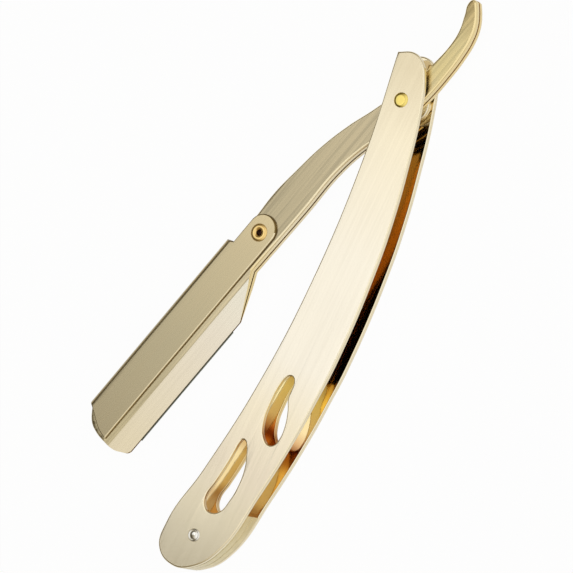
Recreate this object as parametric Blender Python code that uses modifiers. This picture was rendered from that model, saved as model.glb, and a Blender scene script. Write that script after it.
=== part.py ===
"""Replaceable blade straight razor, all metal, folded almost shut.

Two scales riveted over a pair of spacers make the handle. The arm is a pair of leaves that turn
on the pivot pin between two washers. A snapped half of a double-edge blade lies on two pegs in
the slot between the leaves, and a folded channel that turns on a hollow rivet clamps them.

Metres. The origin is on the pivot's axis at the crown of its rear head. +X runs from the pivot
to the end rivet, +Y towards the handle's convex edge and +Z up through the front scale.
"""

import math

import bmesh
import bpy
from mathutils import Matrix

# Blade: half of a double-edge blade, snapped along its middle
BLADE_LENGTH = 0.0430
BLADE_EDGE_LENGTH = 0.0371
BLADE_WIDTH = 0.0110
BLADE_TAB_WIDTH = 0.0068
BLADE_THICKNESS = 0.0001
BLADE_EDGE_THICKNESS = 0.00002
BLADE_GRIND_WIDTH = 0.0007
BLADE_REVEAL = 0.0004
BLADE_END_MARGIN = 0.0002

# Arm: two leaves from the tail's tip to the toe
LEAF_THICKNESS = 0.00165
LEAF_EDGE_THICKNESS = 0.00012
BLADE_SLOT = 0.0003
SHANK_LENGTH = 0.0700
HOLDER_DEPTH = 0.01635
LEAF_EDGE_RISE = 0.00375
TOE_BULGE = 0.00415
TAIL_LENGTH = 0.0302
TANG_WIDTH = 0.0072
GRIND_WIDTH = 0.00535
LEAF_EDGE_ROUND = 0.00035

# Blade pegs
PEG_RADIUS = 0.0013
PEG_SPAN = 0.0270
PEG_CHAMFER = 0.0002

# Lock: a folded channel on a hollow rivet
LOCK_SHEET = 0.0007
LOCK_LIP_DROP = 0.00705
LOCK_FOLD_RADIUS = 0.0015
LOCK_BACK_CLEARANCE = 0.00035
LOCK_TOE_SETBACK = 0.0010
LUG_RADIUS = 0.0040
LUG_TAIL = 0.0010
SPINE_START = 0.0075
SPINE_STEP_LENGTH = 0.0011
EYELET_SETBACK = 0.0201
EYELET_BORE_RADIUS = 0.00088
EYELET_BARREL_RADIUS = 0.0014
EYELET_FLANGE_RADIUS = 0.0023
EYELET_FLANGE_THICKNESS = 0.00036
EYELET_LIP_RADIUS = 0.00145

# Handle: two scales, two spacers and the rivets
SCALE_THICKNESS = 0.0014
SCALE_GAP = 0.0053
HANDLE_BREADTH = 0.0160
END_ROUND = 0.00944
SCALE_EDGE_ROUND = 0.00035
SPACER_HORN_LENGTH = 0.00865
SPACER_HORN_CLEARANCE = 0.0007
TOE_CLEARANCE = 0.0004
END_RIVET_SETBACK = 0.0021
PIVOT_SHAFT_RADIUS = 0.0015
PIVOT_HEAD_RADIUS = 0.0019
PIVOT_CROWN_RADIUS = 0.0011
END_SHAFT_RADIUS = 0.0011
END_HEAD_RADIUS = 0.00165
END_DOME_RADIUS = 0.0012
END_CROWN_RADIUS = 0.0005
END_RING_HEIGHT = 0.0002
END_GROOVE_HEIGHT = 0.00005
HEAD_HEIGHT = 0.00035
WASHER_RADIUS = 0.0046

# Fits
SEAT_GAP = 0.00003
SIDE_CLEARANCE = 0.00005
BORE_CLEARANCE = 0.00006
TURNING_CLEARANCE = 0.00008
OVERRUN = 0.002

# Pose in the photograph, and the angle past the handle's axis at which the arm is shut
REST_ANGLE = math.radians(-16.63)
SHUT_ANGLE = math.radians(1.37)

ROUND_SEGMENTS = 32
OUTLINE_STEPS = 4
RIM_STEPS = 1

# Outlines, as shares of the sizes named beside them, with True at a sharp corner
# Scale: handle reach, handle breadth
SCALE_SHARES = [
    (-0.080, -0.425, True),
    (0.122, -0.179, False),
    (0.386, -0.057, False),
    (0.617, -0.141, False),
    (0.810, -0.365, False),
    (0.933, -0.558, False),
    (0.982, -0.483, False),
    (1.000, -0.134, False),
    (0.983, 0.201, False),
    (0.930, 0.516, False),
    (0.804, 0.723, False),
    (0.648, 0.886, False),
    (0.587, 0.916, False),
    (0.509, 0.945, False),
    (0.308, 0.868, False),
    (0.201, 0.754, False),
    (0.116, 0.617, False),
    (0.000, 0.383, False),
    (-0.056, 0.211, False),
    (-0.083, 0.043, False),
    (-0.092, -0.147, False),
]
UPPER_TEARDROP_SHARES = [
    (0.567, 0.331, False),
    (0.576, 0.266, False),
    (0.591, 0.231, False),
    (0.628, 0.213, False),
    (0.668, 0.249, False),
    (0.694, 0.356, False),
    (0.703, 0.494, False),
    (0.698, 0.584, False),
    (0.684, 0.625, False),
    (0.658, 0.618, False),
    (0.628, 0.544, False),
    (0.607, 0.461, False),
    (0.588, 0.447, False),
    (0.575, 0.434, False),
    (0.567, 0.388, False),
]
LOWER_TEARDROP_SHARES = [
    (0.719, 0.056, False),
    (0.727, 0.026, False),
    (0.745, 0.009, False),
    (0.768, -0.006, False),
    (0.817, -0.066, False),
    (0.850, -0.113, False),
    (0.867, -0.056, False),
    (0.873, 0.069, False),
    (0.863, 0.219, False),
    (0.833, 0.300, False),
    (0.798, 0.325, False),
    (0.763, 0.288, False),
    (0.740, 0.216, False),
    (0.726, 0.156, False),
    (0.719, 0.103, False),
]
# Tail: tail length, tang width
TAIL_SHARES = [
    (0.000, -0.479, False),
    (-0.199, -0.243, False),
    (-0.401, -0.132, False),
    (-0.606, -0.104, False),
    (-0.735, -0.201, False),
    (-0.854, -0.424, False),
    (-0.944, -0.604, False),
    (-0.996, -0.542, False),
    (-1.000, -0.389, True),
    (-0.937, -0.097, False),
    (-0.854, 0.181, False),
    (-0.742, 0.382, False),
    (-0.579, 0.507, False),
    (-0.368, 0.556, False),
    (-0.166, 0.542, False),
]
# Shank: shank length, holder depth
SHANK_FRONT_SHARES = [
    (0.071, 0.167, False),
    (0.143, 0.080, False),
    (0.237, -0.046, False),
    (0.361, -0.127, False),
    (0.543, -0.126, False),
    (0.834, -0.146, True),
]
SHANK_BACK_SHARES = [
    (0.814, -0.696, False),
    (0.686, -0.704, False),
    (0.577, -0.723, False),
    (0.454, -0.680, False),
    (0.331, -0.614, False),
    (0.206, -0.486, False),
    (0.107, -0.343, False),
]
# Toe of the leaves, from the edge's end: toe bulge, holder depth
TOE_SHARES = [
    (0.650, -0.100, False),
    (0.880, -0.210, False),
    (1.000, -0.459, False),
    (0.965, -0.648, False),
    (0.750, -0.813, False),
]
# Toe of the lock, back from its lip's end: toe bulge, lock depth
LOCK_TOE_SHARES = [
    (0.10, -0.27, False),
    (0.31, -0.48, False),
    (0.61, -0.71, False),
    (0.90, -1.00, False),
]

# Worked out from the sizes above
STACK_THICKNESS = 2 * LEAF_THICKNESS + BLADE_SLOT
MIDDLE_Z = HEAD_HEIGHT + SCALE_THICKNESS + SCALE_GAP / 2
REAR_SCALE_Z = HEAD_HEIGHT
REAR_INNER_Z = REAR_SCALE_Z + SCALE_THICKNESS
FRONT_INNER_Z = REAR_INNER_Z + SCALE_GAP
FRONT_FACE_Z = FRONT_INNER_Z + SCALE_THICKNESS
EDGE_LENGTH = BLADE_LENGTH + 2 * BLADE_END_MARGIN
TOE_CORNER = SHANK_LENGTH + EDGE_LENGTH
BACK_LINE = LEAF_EDGE_RISE - HOLDER_DEPTH
BLADE_EDGE_LINE = LEAF_EDGE_RISE + BLADE_REVEAL
BLADE_BACK_LINE = BLADE_EDGE_LINE - BLADE_WIDTH
LOCK_LIP_LINE = LEAF_EDGE_RISE - LOCK_LIP_DROP
LOCK_SPINE_LINE = BACK_LINE - LOCK_BACK_CLEARANCE - LOCK_SHEET
LOCK_DEPTH = LOCK_LIP_LINE - LOCK_SPINE_LINE
LOCK_WIDTH = STACK_THICKNESS + 2 * SIDE_CLEARANCE + 2 * LOCK_SHEET
EYELET_REACH = SHANK_LENGTH - EYELET_SETBACK
EYELET_LINE = LOCK_LIP_LINE - LUG_RADIUS
TOE_RADIUS = max(
    math.hypot(TOE_CORNER + x * TOE_BULGE, LEAF_EDGE_RISE + y * HOLDER_DEPTH) for x, y, _ in TOE_SHARES
)
SPACER_ARC_RADIUS = TOE_RADIUS + TOE_CLEARANCE
END_RIVET_X = SPACER_ARC_RADIUS + END_RIVET_SETBACK
HANDLE_REACH = END_RIVET_X + END_ROUND
WASHER_THICKNESS = (SCALE_GAP - STACK_THICKNESS) / 2 - 2 * SIDE_CLEARANCE
SPACER_THICKNESS = (SCALE_GAP - 3 * SEAT_GAP) / 2
BLADE_MIDDLE = SHANK_LENGTH + EDGE_LENGTH / 2


def collection(name):
    """A new collection in the scene."""
    made = bpy.data.collections.new(name)
    bpy.context.scene.collection.children.link(made)
    return made


def metal(name, colour, roughness):
    """A metal in a plain colour."""
    made = bpy.data.materials.new(name)
    made.use_nodes = True
    shader = made.node_tree.nodes["Principled BSDF"]
    shader.inputs["Base Color"].default_value = (*colour, 1)
    shader.inputs["Metallic"].default_value = 1
    shader.inputs["Roughness"].default_value = roughness
    return made


def clear_scene():
    for obj in list(bpy.data.objects):
        bpy.data.objects.remove(obj, do_unlink=True)


clear_scene()
RAZOR = collection("straight_razor")
CUTTERS = collection("cutters")
SCALE_METAL = metal("champagne_scale", (0.80, 0.72, 0.55), 0.30)
ARM_METAL = metal("champagne_arm", (0.52, 0.45, 0.29), 0.32)
LOCK_METAL = metal("champagne_lock", (0.50, 0.43, 0.27), 0.34)
BRASS = metal("brass", (0.80, 0.58, 0.22), 0.22)
RIVET_STEEL = metal("rivet_steel", (0.78, 0.76, 0.70), 0.20)
BLADE_STEEL = metal("blade_steel", (0.62, 0.64, 0.66), 0.15)


def frame_empty(name, location, angle=0.0, parent=None):
    """An empty that stands on a joint's axis and carries the pieces that turn about it."""
    empty = bpy.data.objects.new(name, None)
    RAZOR.objects.link(empty)
    empty.parent = parent
    empty.location = location
    empty.rotation_euler.z = angle
    return empty


HANDLE = frame_empty("handle_frame", (0, 0, 0))
ARM = frame_empty("arm_frame", (0, 0, MIDDLE_Z), REST_ANGLE, HANDLE)
LOCK = frame_empty("lock_frame", (EYELET_REACH, EYELET_LINE, 0), 0, ARM)


def finish(obj, parent, material):
    """Gives a sub-part its parent, material and shading."""
    obj.parent = parent
    if material:
        obj.data.materials.clear()
        obj.data.materials.append(material)
    obj.data.shade_smooth()
    obj.data.set_sharp_from_angle(angle=math.radians(30))
    return obj


def as_cutter(obj, parent):
    """Turns an object into a hidden cutter."""
    RAZOR.objects.unlink(obj)
    CUTTERS.objects.link(obj)
    obj.parent = parent
    obj.hide_render = True
    obj.display_type = "WIRE"
    return obj


def mesh_object(name, bm):
    """An object from a bmesh."""
    mesh = bpy.data.meshes.new(name)
    bm.to_mesh(mesh)
    bm.free()
    obj = bpy.data.objects.new(name, mesh)
    RAZOR.objects.link(obj)
    return obj


def plate(name, outlines, thickness, rim=0.0):
    """A flat plate whose middle is at its z 0, from closed outlines: the outer one, then its holes."""
    curve = bpy.data.curves.new(name, "CURVE")
    curve.dimensions = "2D"
    curve.fill_mode = "BOTH"
    curve.extrude = thickness / 2 - rim
    curve.bevel_depth = rim
    curve.bevel_resolution = RIM_STEPS
    curve.offset = -rim
    curve.resolution_u = OUTLINE_STEPS
    for outline in outlines:
        spline = curve.splines.new("BEZIER")
        spline.bezier_points.add(len(outline) - 1)
        spline.use_cyclic_u = True
        for point, (x, y, corner) in zip(spline.bezier_points, outline):
            point.co = (x, y, 0)
            handle = "VECTOR" if corner else "AUTO"
            point.handle_left_type = handle
            point.handle_right_type = handle
    shape = bpy.data.objects.new(name + "_outline", curve)
    RAZOR.objects.link(shape)
    graph = bpy.context.evaluated_depsgraph_get()
    mesh = bpy.data.meshes.new_from_object(shape.evaluated_get(graph))
    bpy.data.objects.remove(shape, do_unlink=True)
    bm = bmesh.new()
    bm.from_mesh(mesh)
    bpy.data.meshes.remove(mesh)
    bmesh.ops.remove_doubles(bm, verts=bm.verts, dist=SEAT_GAP / 10)
    bmesh.ops.recalc_face_normals(bm, faces=bm.faces)
    return mesh_object(name, bm)


def placed(shares, across, along, start=(0.0, 0.0)):
    """The points of an outline given as shares of two sizes."""
    return [(start[0] + x * across, start[1] + y * along, corner) for x, y, corner in shares]


def rod(name, radius, low_z, high_z, x=0.0, y=0.0):
    """An upright cylinder."""
    bm = bmesh.new()
    bmesh.ops.create_cone(
        bm, cap_ends=True, segments=ROUND_SEGMENTS, radius1=radius, radius2=radius, depth=high_z - low_z
    )
    obj = mesh_object(name, bm)
    obj.location = (x, y, (low_z + high_z) / 2)
    return obj


def cut(obj, cutter, operation="DIFFERENCE"):
    """Adds a Boolean to an object."""
    modifier = obj.modifiers.new(cutter.name, "BOOLEAN")
    modifier.operation = operation
    modifier.object = cutter


def turned(name, profile):
    """A turned solid, from the radius and height of the points down its outer side."""
    bm = bmesh.new()
    points = [bm.verts.new((radius, 0, height)) for radius, height in profile]
    for first, second in zip(points, points[1:]):
        bm.edges.new((first, second))
    if profile[0][0] > 0:
        bm.edges.new((points[-1], points[0]))
    obj = mesh_object(name, bm)
    screw = obj.modifiers.new("turn", "SCREW")
    screw.steps = ROUND_SEGMENTS
    screw.render_steps = ROUND_SEGMENTS
    screw.use_merge_vertices = True
    screw.merge_threshold = SEAT_GAP / 10
    return obj


def arc(centre, radius, start, end, steps):
    """Points along an arc, from one angle to another."""
    angles = [start + (end - start) * step / steps for step in range(steps + 1)]
    return [(centre[0] + radius * math.cos(a), centre[1] + radius * math.sin(a)) for a in angles]


def prism(name, points, low_z, high_z):
    """An upright solid on a flat outline of straight sides."""
    bm = bmesh.new()
    face = bm.faces.new([bm.verts.new((x, y, low_z)) for x, y in points])
    grown = bmesh.ops.extrude_face_region(bm, geom=[face])
    raised = [item for item in grown["geom"] if isinstance(item, bmesh.types.BMVert)]
    bmesh.ops.translate(bm, verts=raised, vec=(0, 0, high_z - low_z))
    bmesh.ops.recalc_face_normals(bm, faces=bm.faces)
    return mesh_object(name, bm)


# Bores through the whole stack
PIVOT_BORE = as_cutter(
    rod("pivot_bore", PIVOT_SHAFT_RADIUS + TURNING_CLEARANCE, -OVERRUN, FRONT_FACE_Z + OVERRUN), HANDLE
)
END_BORE = as_cutter(
    rod("end_bore", END_SHAFT_RADIUS + BORE_CLEARANCE, -OVERRUN, FRONT_FACE_Z + OVERRUN, END_RIVET_X), HANDLE
)
EYELET_BORE = as_cutter(
    rod("eyelet_bore", EYELET_BARREL_RADIUS + TURNING_CLEARANCE, -LOCK_WIDTH, LOCK_WIDTH), LOCK
)


def scale(name, low_z):
    """One scale: an arched plate with two teardrop windows and a polished, rounded rim."""
    outlines = [
        placed(shares, HANDLE_REACH, HANDLE_BREADTH)
        for shares in (SCALE_SHARES, UPPER_TEARDROP_SHARES, LOWER_TEARDROP_SHARES)
    ]
    obj = plate(name, outlines, SCALE_THICKNESS, SCALE_EDGE_ROUND)
    obj.location.z = low_z + SCALE_THICKNESS / 2
    cut(obj, PIVOT_BORE)
    cut(obj, END_BORE)
    return finish(obj, HANDLE, SCALE_METAL)


def toe_sweep():
    """The room that the arm's toe sweeps between the spacers as it shuts."""
    horn_x = SPACER_ARC_RADIUS - SPACER_HORN_LENGTH
    shut_edge = BLADE_EDGE_LINE / math.cos(SHUT_ANGLE) + SPACER_ARC_RADIUS * math.tan(SHUT_ANGLE)
    horn_y = shut_edge + SPACER_HORN_CLEARANCE
    top = math.asin(horn_y / SPACER_ARC_RADIUS)
    swept = arc((0, 0), SPACER_ARC_RADIUS, top, -math.pi / 4, ROUND_SEGMENTS)
    beyond = [
        (swept[-1][0], -SPACER_ARC_RADIUS),
        (-HANDLE_REACH, -SPACER_ARC_RADIUS),
        (-HANDLE_REACH, SPACER_ARC_RADIUS),
        (horn_x, SPACER_ARC_RADIUS),
        (horn_x, horn_y),
    ]
    return as_cutter(prism("toe_sweep", swept + beyond, -OVERRUN, FRONT_FACE_Z + OVERRUN), HANDLE)


TOE_SWEEP = toe_sweep()


def end_spacer(name, low_z):
    """One of the two spacers at the round end, flush with the scales' rims."""
    obj = plate(name, [placed(SCALE_SHARES, HANDLE_REACH, HANDLE_BREADTH)], SPACER_THICKNESS)
    obj.location.z = low_z + SPACER_THICKNESS / 2
    cut(obj, TOE_SWEEP)
    cut(obj, END_BORE)
    return finish(obj, HANDLE, SCALE_METAL)


def headed_pin(name, shaft_radius, head, material, x):
    """A pin with a head over each scale, from the head's profile above the scale's face."""
    seat = FRONT_FACE_Z + SEAT_GAP
    top = [(radius, seat + height) for radius, height in head]
    under = [(head[-1][0], seat), (shaft_radius, seat)]
    half = top + under
    whole = half + [(radius, 2 * MIDDLE_Z - height) for radius, height in reversed(half)]
    obj = turned(name, whole)
    obj.location.x = x
    return finish(obj, HANDLE, material)


def pivot_pin():
    """The brass pin that the arm turns on, with low domed heads flat at the crown."""
    crown = HEAD_HEIGHT - SEAT_GAP
    shoulder = (PIVOT_CROWN_RADIUS + PIVOT_HEAD_RADIUS) / 2
    head = [
        (0, crown),
        (PIVOT_CROWN_RADIUS, crown),
        (shoulder, 0.86 * crown),
        ((shoulder + PIVOT_HEAD_RADIUS) / 2, 0.66 * crown),
        (PIVOT_HEAD_RADIUS, 0.25 * crown),
    ]
    return headed_pin("pivot_pin", PIVOT_SHAFT_RADIUS, head, BRASS, 0)


def end_rivet():
    """The rivet through the spacers: a domed middle inside a ring."""
    crown = HEAD_HEIGHT - SEAT_GAP
    ring = (END_DOME_RADIUS + END_HEAD_RADIUS) / 2
    head = [
        (0, crown),
        (END_CROWN_RADIUS, crown),
        ((END_CROWN_RADIUS + END_DOME_RADIUS) / 2, 0.8 * crown),
        (END_DOME_RADIUS, END_GROOVE_HEIGHT),
        (ring, END_RING_HEIGHT),
        (END_HEAD_RADIUS, END_GROOVE_HEIGHT),
    ]
    return headed_pin("end_rivet", END_SHAFT_RADIUS, head, RIVET_STEEL, END_RIVET_X)


def pivot_washer(name, low_z):
    """A washer that keeps the arm in the middle of the gap."""
    bore = PIVOT_SHAFT_RADIUS + TURNING_CLEARANCE
    high_z = low_z + WASHER_THICKNESS
    section = [(bore, high_z), (WASHER_RADIUS, high_z), (WASHER_RADIUS, low_z), (bore, low_z)]
    return finish(turned(name, section), HANDLE, BRASS)


def leaf_outline():
    """The outline of a leaf: tail, shank, heel, cutting side, toe and back."""
    tail = placed(TAIL_SHARES, TAIL_LENGTH, TANG_WIDTH)
    front = placed(SHANK_FRONT_SHARES, SHANK_LENGTH, HOLDER_DEPTH)
    edge = [(SHANK_LENGTH, LEAF_EDGE_RISE, True), (TOE_CORNER, LEAF_EDGE_RISE, True)]
    toe = placed(TOE_SHARES, TOE_BULGE, HOLDER_DEPTH, (TOE_CORNER, LEAF_EDGE_RISE))
    back_corner = [(TOE_CORNER, BACK_LINE, True)]
    back = placed(SHANK_BACK_SHARES, SHANK_LENGTH, HOLDER_DEPTH)
    return tail + front + edge + toe + back_corner + back


def other_side(name, side):
    """A block over everything on the far side of the slot from a leaf."""
    length = 2 * (TAIL_LENGTH + TOE_RADIUS)
    bm = bmesh.new()
    bmesh.ops.create_cube(bm, size=1)
    bmesh.ops.scale(bm, verts=bm.verts, vec=(length, length, STACK_THICKNESS))
    bmesh.ops.translate(bm, verts=bm.verts, vec=(0, 0, side * (BLADE_SLOT - STACK_THICKNESS) / 2))
    return as_cutter(mesh_object(name, bm), ARM)


def grind_cutter(name, side):
    """The wedge that is ground off a leaf's outer face towards its cutting side."""
    reach = EDGE_LENGTH + SHANK_LENGTH
    fall = LEAF_THICKNESS - LEAF_EDGE_THICKNESS
    slope = math.atan2(fall, GRIND_WIDTH)
    bm = bmesh.new()
    bmesh.ops.create_cube(bm, size=1)
    bmesh.ops.translate(bm, verts=bm.verts, vec=(0, 0, 1 / 2))
    bmesh.ops.scale(bm, verts=bm.verts, vec=(reach, 3 * GRIND_WIDTH, HOLDER_DEPTH))
    bmesh.ops.rotate(bm, verts=bm.verts, matrix=Matrix.Rotation(-slope, 3, "X"))
    edge_z = BLADE_SLOT / 2 + LEAF_EDGE_THICKNESS
    start = SHANK_FRONT_SHARES[-1][0] * SHANK_LENGTH
    bmesh.ops.translate(bm, verts=bm.verts, vec=(start + reach / 2, LEAF_EDGE_RISE, edge_z))
    if side < 0:
        bmesh.ops.scale(bm, verts=bm.verts, vec=(1, 1, -1))
        bmesh.ops.reverse_faces(bm, faces=bm.faces)
    return as_cutter(mesh_object(name, bm), ARM)


def peg_places():
    """The middles of the two pegs, on the blade's snapped edge."""
    return [(BLADE_MIDDLE + side * PEG_SPAN / 2, BLADE_BACK_LINE) for side in (-1, 1)]


PEG_BORES = [
    as_cutter(
        rod(f"peg_bore_{number}", PEG_RADIUS + BORE_CLEARANCE, -STACK_THICKNESS, STACK_THICKNESS, x, y), ARM
    )
    for number, (x, y) in enumerate(peg_places(), 1)
]


def leaf(name, side):
    """One leaf of the arm, on the side of the slot that its sign gives."""
    obj = plate(name, [leaf_outline()], STACK_THICKNESS, LEAF_EDGE_ROUND)
    cut(obj, other_side(name + "_other_side", side))
    cut(obj, grind_cutter(name + "_grind", side))
    cut(obj, PIVOT_BORE)
    cut(obj, EYELET_BORE)
    for bore in PEG_BORES:
        cut(obj, bore)
    return finish(obj, ARM, ARM_METAL)


def blade_peg(name, place):
    """A peg through both leaves that the snapped edge's notch sits on."""
    half = STACK_THICKNESS / 2 - SEAT_GAP
    profile = [
        (0, half),
        (PEG_RADIUS - PEG_CHAMFER, half),
        (PEG_RADIUS, half - PEG_CHAMFER),
        (PEG_RADIUS, PEG_CHAMFER - half),
        (PEG_RADIUS - PEG_CHAMFER, -half),
        (0, -half),
    ]
    obj = turned(name, profile)
    obj.location = (place[0], place[1], 0)
    return finish(obj, ARM, BRASS)


def blade_outline():
    """Half of a double-edge blade: tabs, end notches, and two half-round notches in its snapped edge."""
    left = BLADE_MIDDLE - BLADE_LENGTH / 2
    right = BLADE_MIDDLE + BLADE_LENGTH / 2
    tab = BLADE_BACK_LINE + BLADE_TAB_WIDTH
    edge_left = BLADE_MIDDLE - BLADE_EDGE_LENGTH / 2
    edge_right = BLADE_MIDDLE + BLADE_EDGE_LENGTH / 2
    points = [(left, BLADE_BACK_LINE)]
    for x, y in peg_places():
        points += arc((x, y), PEG_RADIUS + TURNING_CLEARANCE, math.pi, 0, 12)
    points += [
        (right, BLADE_BACK_LINE),
        (right, tab),
        (edge_right, tab),
        (edge_right, BLADE_EDGE_LINE),
        (edge_left, BLADE_EDGE_LINE),
        (edge_left, tab),
        (left, tab),
    ]
    return points


def razor_blade():
    """The replaceable blade, ground thin along its edge."""
    obj = prism("razor_blade", blade_outline(), -BLADE_THICKNESS / 2, BLADE_THICKNESS / 2)
    bm = bmesh.new()
    bm.from_mesh(obj.data)
    bmesh.ops.bisect_plane(
        bm,
        geom=bm.verts[:] + bm.edges[:] + bm.faces[:],
        plane_co=(0, BLADE_EDGE_LINE - BLADE_GRIND_WIDTH, 0),
        plane_no=(0, 1, 0),
    )
    edge = [vert for vert in bm.verts if abs(vert.co.y - BLADE_EDGE_LINE) < BLADE_GRIND_WIDTH / 2]
    bmesh.ops.scale(bm, verts=edge, vec=(1, 1, BLADE_EDGE_THICKNESS / BLADE_THICKNESS))
    bm.to_mesh(obj.data)
    bm.free()
    return finish(obj, ARM, BLADE_STEEL)


def lock_outline():
    """The lock seen square on, from its hollow rivet: a round lug, a step, the spine and the toe."""
    lip = LUG_RADIUS
    spine = LOCK_SPINE_LINE - EYELET_LINE
    lip_end = TOE_CORNER + TOE_BULGE - LOCK_TOE_SETBACK - EYELET_REACH
    lug = arc((-LUG_TAIL, 0), LUG_RADIUS, math.pi / 2, 3 * math.pi / 2, ROUND_SEGMENTS // 2)
    step = [
        (SPINE_START - SPINE_STEP_LENGTH, -LUG_RADIUS, True),
        (SPINE_START, spine + LOCK_SHEET, True),
        (SPINE_START, spine - OVERRUN, True),
    ]
    toe = [(lip_end - x * TOE_BULGE, lip + y * LOCK_DEPTH, False) for x, y, _ in reversed(LOCK_TOE_SHARES)]
    toe_base = [(toe[0][0], spine - OVERRUN, True)]
    return [(x, y, True) for x, y in lug] + step + toe_base + toe + [(lip_end, lip, True)]


def channel():
    """The folded sheet before it is trimmed: two cheeks joined by a round spine."""
    spine = LOCK_SPINE_LINE - EYELET_LINE
    half_width = (LOCK_WIDTH - LOCK_SHEET) / 2
    bend = LOCK_FOLD_RADIUS - LOCK_SHEET / 2
    floor = spine + LOCK_SHEET / 2
    lip = LUG_RADIUS + OVERRUN
    rear_bend = arc((floor + bend, bend - half_width), bend, -math.pi / 2, -math.pi, 6)
    front_bend = arc((floor + bend, half_width - bend), bend, math.pi, math.pi / 2, 6)
    section = [(lip, -half_width)] + rear_bend + front_bend + [(lip, half_width)]
    start = -LUG_TAIL - LUG_RADIUS - OVERRUN
    length = TOE_CORNER + TOE_BULGE - EYELET_REACH + OVERRUN - start
    bm = bmesh.new()
    points = [bm.verts.new((start, y, z)) for y, z in section]
    edges = [bm.edges.new(pair) for pair in zip(points, points[1:])]
    grown = bmesh.ops.extrude_edge_only(bm, edges=edges)
    moved = [item for item in grown["geom"] if isinstance(item, bmesh.types.BMVert)]
    bmesh.ops.translate(bm, verts=moved, vec=(length, 0, 0))
    obj = mesh_object("swing_lock", bm)
    wall = obj.modifiers.new("sheet", "SOLIDIFY")
    wall.thickness = LOCK_SHEET
    wall.offset = 0
    wall.use_even_offset = True
    return obj


def swing_lock():
    """The folded lock that clamps the leaves on the blade."""
    obj = channel()
    trim = as_cutter(plate("lock_trim", [lock_outline()], 2 * LOCK_WIDTH), LOCK)
    cut(obj, trim, "INTERSECT")
    cut(obj, EYELET_BORE)
    return finish(obj, LOCK, LOCK_METAL)


def lock_eyelet():
    """The hollow rivet with rolled flanges that the lock turns on."""
    seat = LOCK_WIDTH / 2 + SEAT_GAP
    crown = seat + EYELET_FLANGE_THICKNESS
    mouth = [
        (EYELET_BORE_RADIUS, seat),
        ((EYELET_BORE_RADIUS + EYELET_LIP_RADIUS) / 2, crown - EYELET_FLANGE_THICKNESS / 4),
        (EYELET_LIP_RADIUS, crown),
        ((EYELET_LIP_RADIUS + EYELET_FLANGE_RADIUS) / 2, crown - EYELET_FLANGE_THICKNESS / 5),
        (EYELET_FLANGE_RADIUS, seat + EYELET_FLANGE_THICKNESS / 3),
        (EYELET_FLANGE_RADIUS, seat),
        (EYELET_BARREL_RADIUS, seat),
    ]
    profile = mouth + [(radius, -height) for radius, height in reversed(mouth)]
    obj = turned("lock_eyelet", profile)
    obj.location = (EYELET_REACH, EYELET_LINE, 0)
    return finish(obj, ARM, BRASS)


scale("front_scale", FRONT_INNER_Z)
scale("rear_scale", REAR_SCALE_Z)
end_spacer("rear_end_spacer", REAR_INNER_Z + SEAT_GAP)
end_spacer("front_end_spacer", REAR_INNER_Z + 2 * SEAT_GAP + SPACER_THICKNESS)
end_rivet()
pivot_pin()
pivot_washer("rear_pivot_washer", REAR_INNER_Z + SIDE_CLEARANCE)
pivot_washer("front_pivot_washer", FRONT_INNER_Z - SIDE_CLEARANCE - WASHER_THICKNESS)
leaf("front_leaf", 1)
leaf("rear_leaf", -1)
for peg_name, peg_place in zip(("heel_blade_peg", "toe_blade_peg"), peg_places()):
    blade_peg(peg_name, peg_place)
razor_blade()
swing_lock()
lock_eyelet()
bpy.context.view_layer.update()
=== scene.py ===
# %% [markdown]
# # A folding razor with a replaceable blade
#
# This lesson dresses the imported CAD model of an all-metal razor: two gilt scales, an arm of two leaves,
# a folded lock and half of a razor blade. The CAD model is the frame. It gives every size and every
# joint, and each new piece below takes the place of a CAD piece of the same size.

# %% Load the frame
import math

import bmesh
import bpy
from mathutils import Matrix, Vector


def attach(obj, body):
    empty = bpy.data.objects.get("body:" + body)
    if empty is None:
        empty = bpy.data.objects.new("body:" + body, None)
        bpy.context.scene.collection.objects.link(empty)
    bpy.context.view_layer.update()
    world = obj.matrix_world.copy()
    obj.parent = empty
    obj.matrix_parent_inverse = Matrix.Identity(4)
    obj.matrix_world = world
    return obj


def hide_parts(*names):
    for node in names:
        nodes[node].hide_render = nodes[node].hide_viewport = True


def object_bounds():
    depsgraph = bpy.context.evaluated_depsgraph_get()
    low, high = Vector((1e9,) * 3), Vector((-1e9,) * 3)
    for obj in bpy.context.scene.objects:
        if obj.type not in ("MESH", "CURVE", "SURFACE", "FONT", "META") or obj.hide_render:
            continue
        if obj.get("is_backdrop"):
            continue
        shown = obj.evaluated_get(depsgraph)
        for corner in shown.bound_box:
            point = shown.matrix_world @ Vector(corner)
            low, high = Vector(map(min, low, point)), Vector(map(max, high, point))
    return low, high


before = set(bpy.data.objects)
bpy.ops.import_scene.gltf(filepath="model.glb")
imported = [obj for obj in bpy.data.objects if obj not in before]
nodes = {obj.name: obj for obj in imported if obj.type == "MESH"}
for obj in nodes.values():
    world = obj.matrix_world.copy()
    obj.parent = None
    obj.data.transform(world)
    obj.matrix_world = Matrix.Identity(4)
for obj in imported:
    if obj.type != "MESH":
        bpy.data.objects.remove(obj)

cad_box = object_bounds()
MM = 0.001

# %% [markdown]
# ## The camera
#
# The photograph was taken from in front of the handle's convex edge, about sixty degrees above the
# table, with the camera rolled so that the handle runs from top right to bottom left. A camera can be
# aimed with angles, but a direction to look back along and a direction that is up in the picture are
# easier to read off a photograph. Three axes at right angles make the camera's matrix.

# %% Place the camera
VIEW_CENTRE = Vector((54.22, -6.61, 8.45)) * MM
TOWARDS_CAMERA = Vector((-0.0939, 0.4909, 0.866)).normalized()
PICTURE_UP = Vector((-0.8988, -0.4152, 0.138))
CAMERA_DISTANCE = 1000 * MM
CLIP_START = 10 * MM
CLIP_END = 10000 * MM
VIEW_WIDTH = 142.5 * MM
SENSOR_WIDTH = 36

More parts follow.
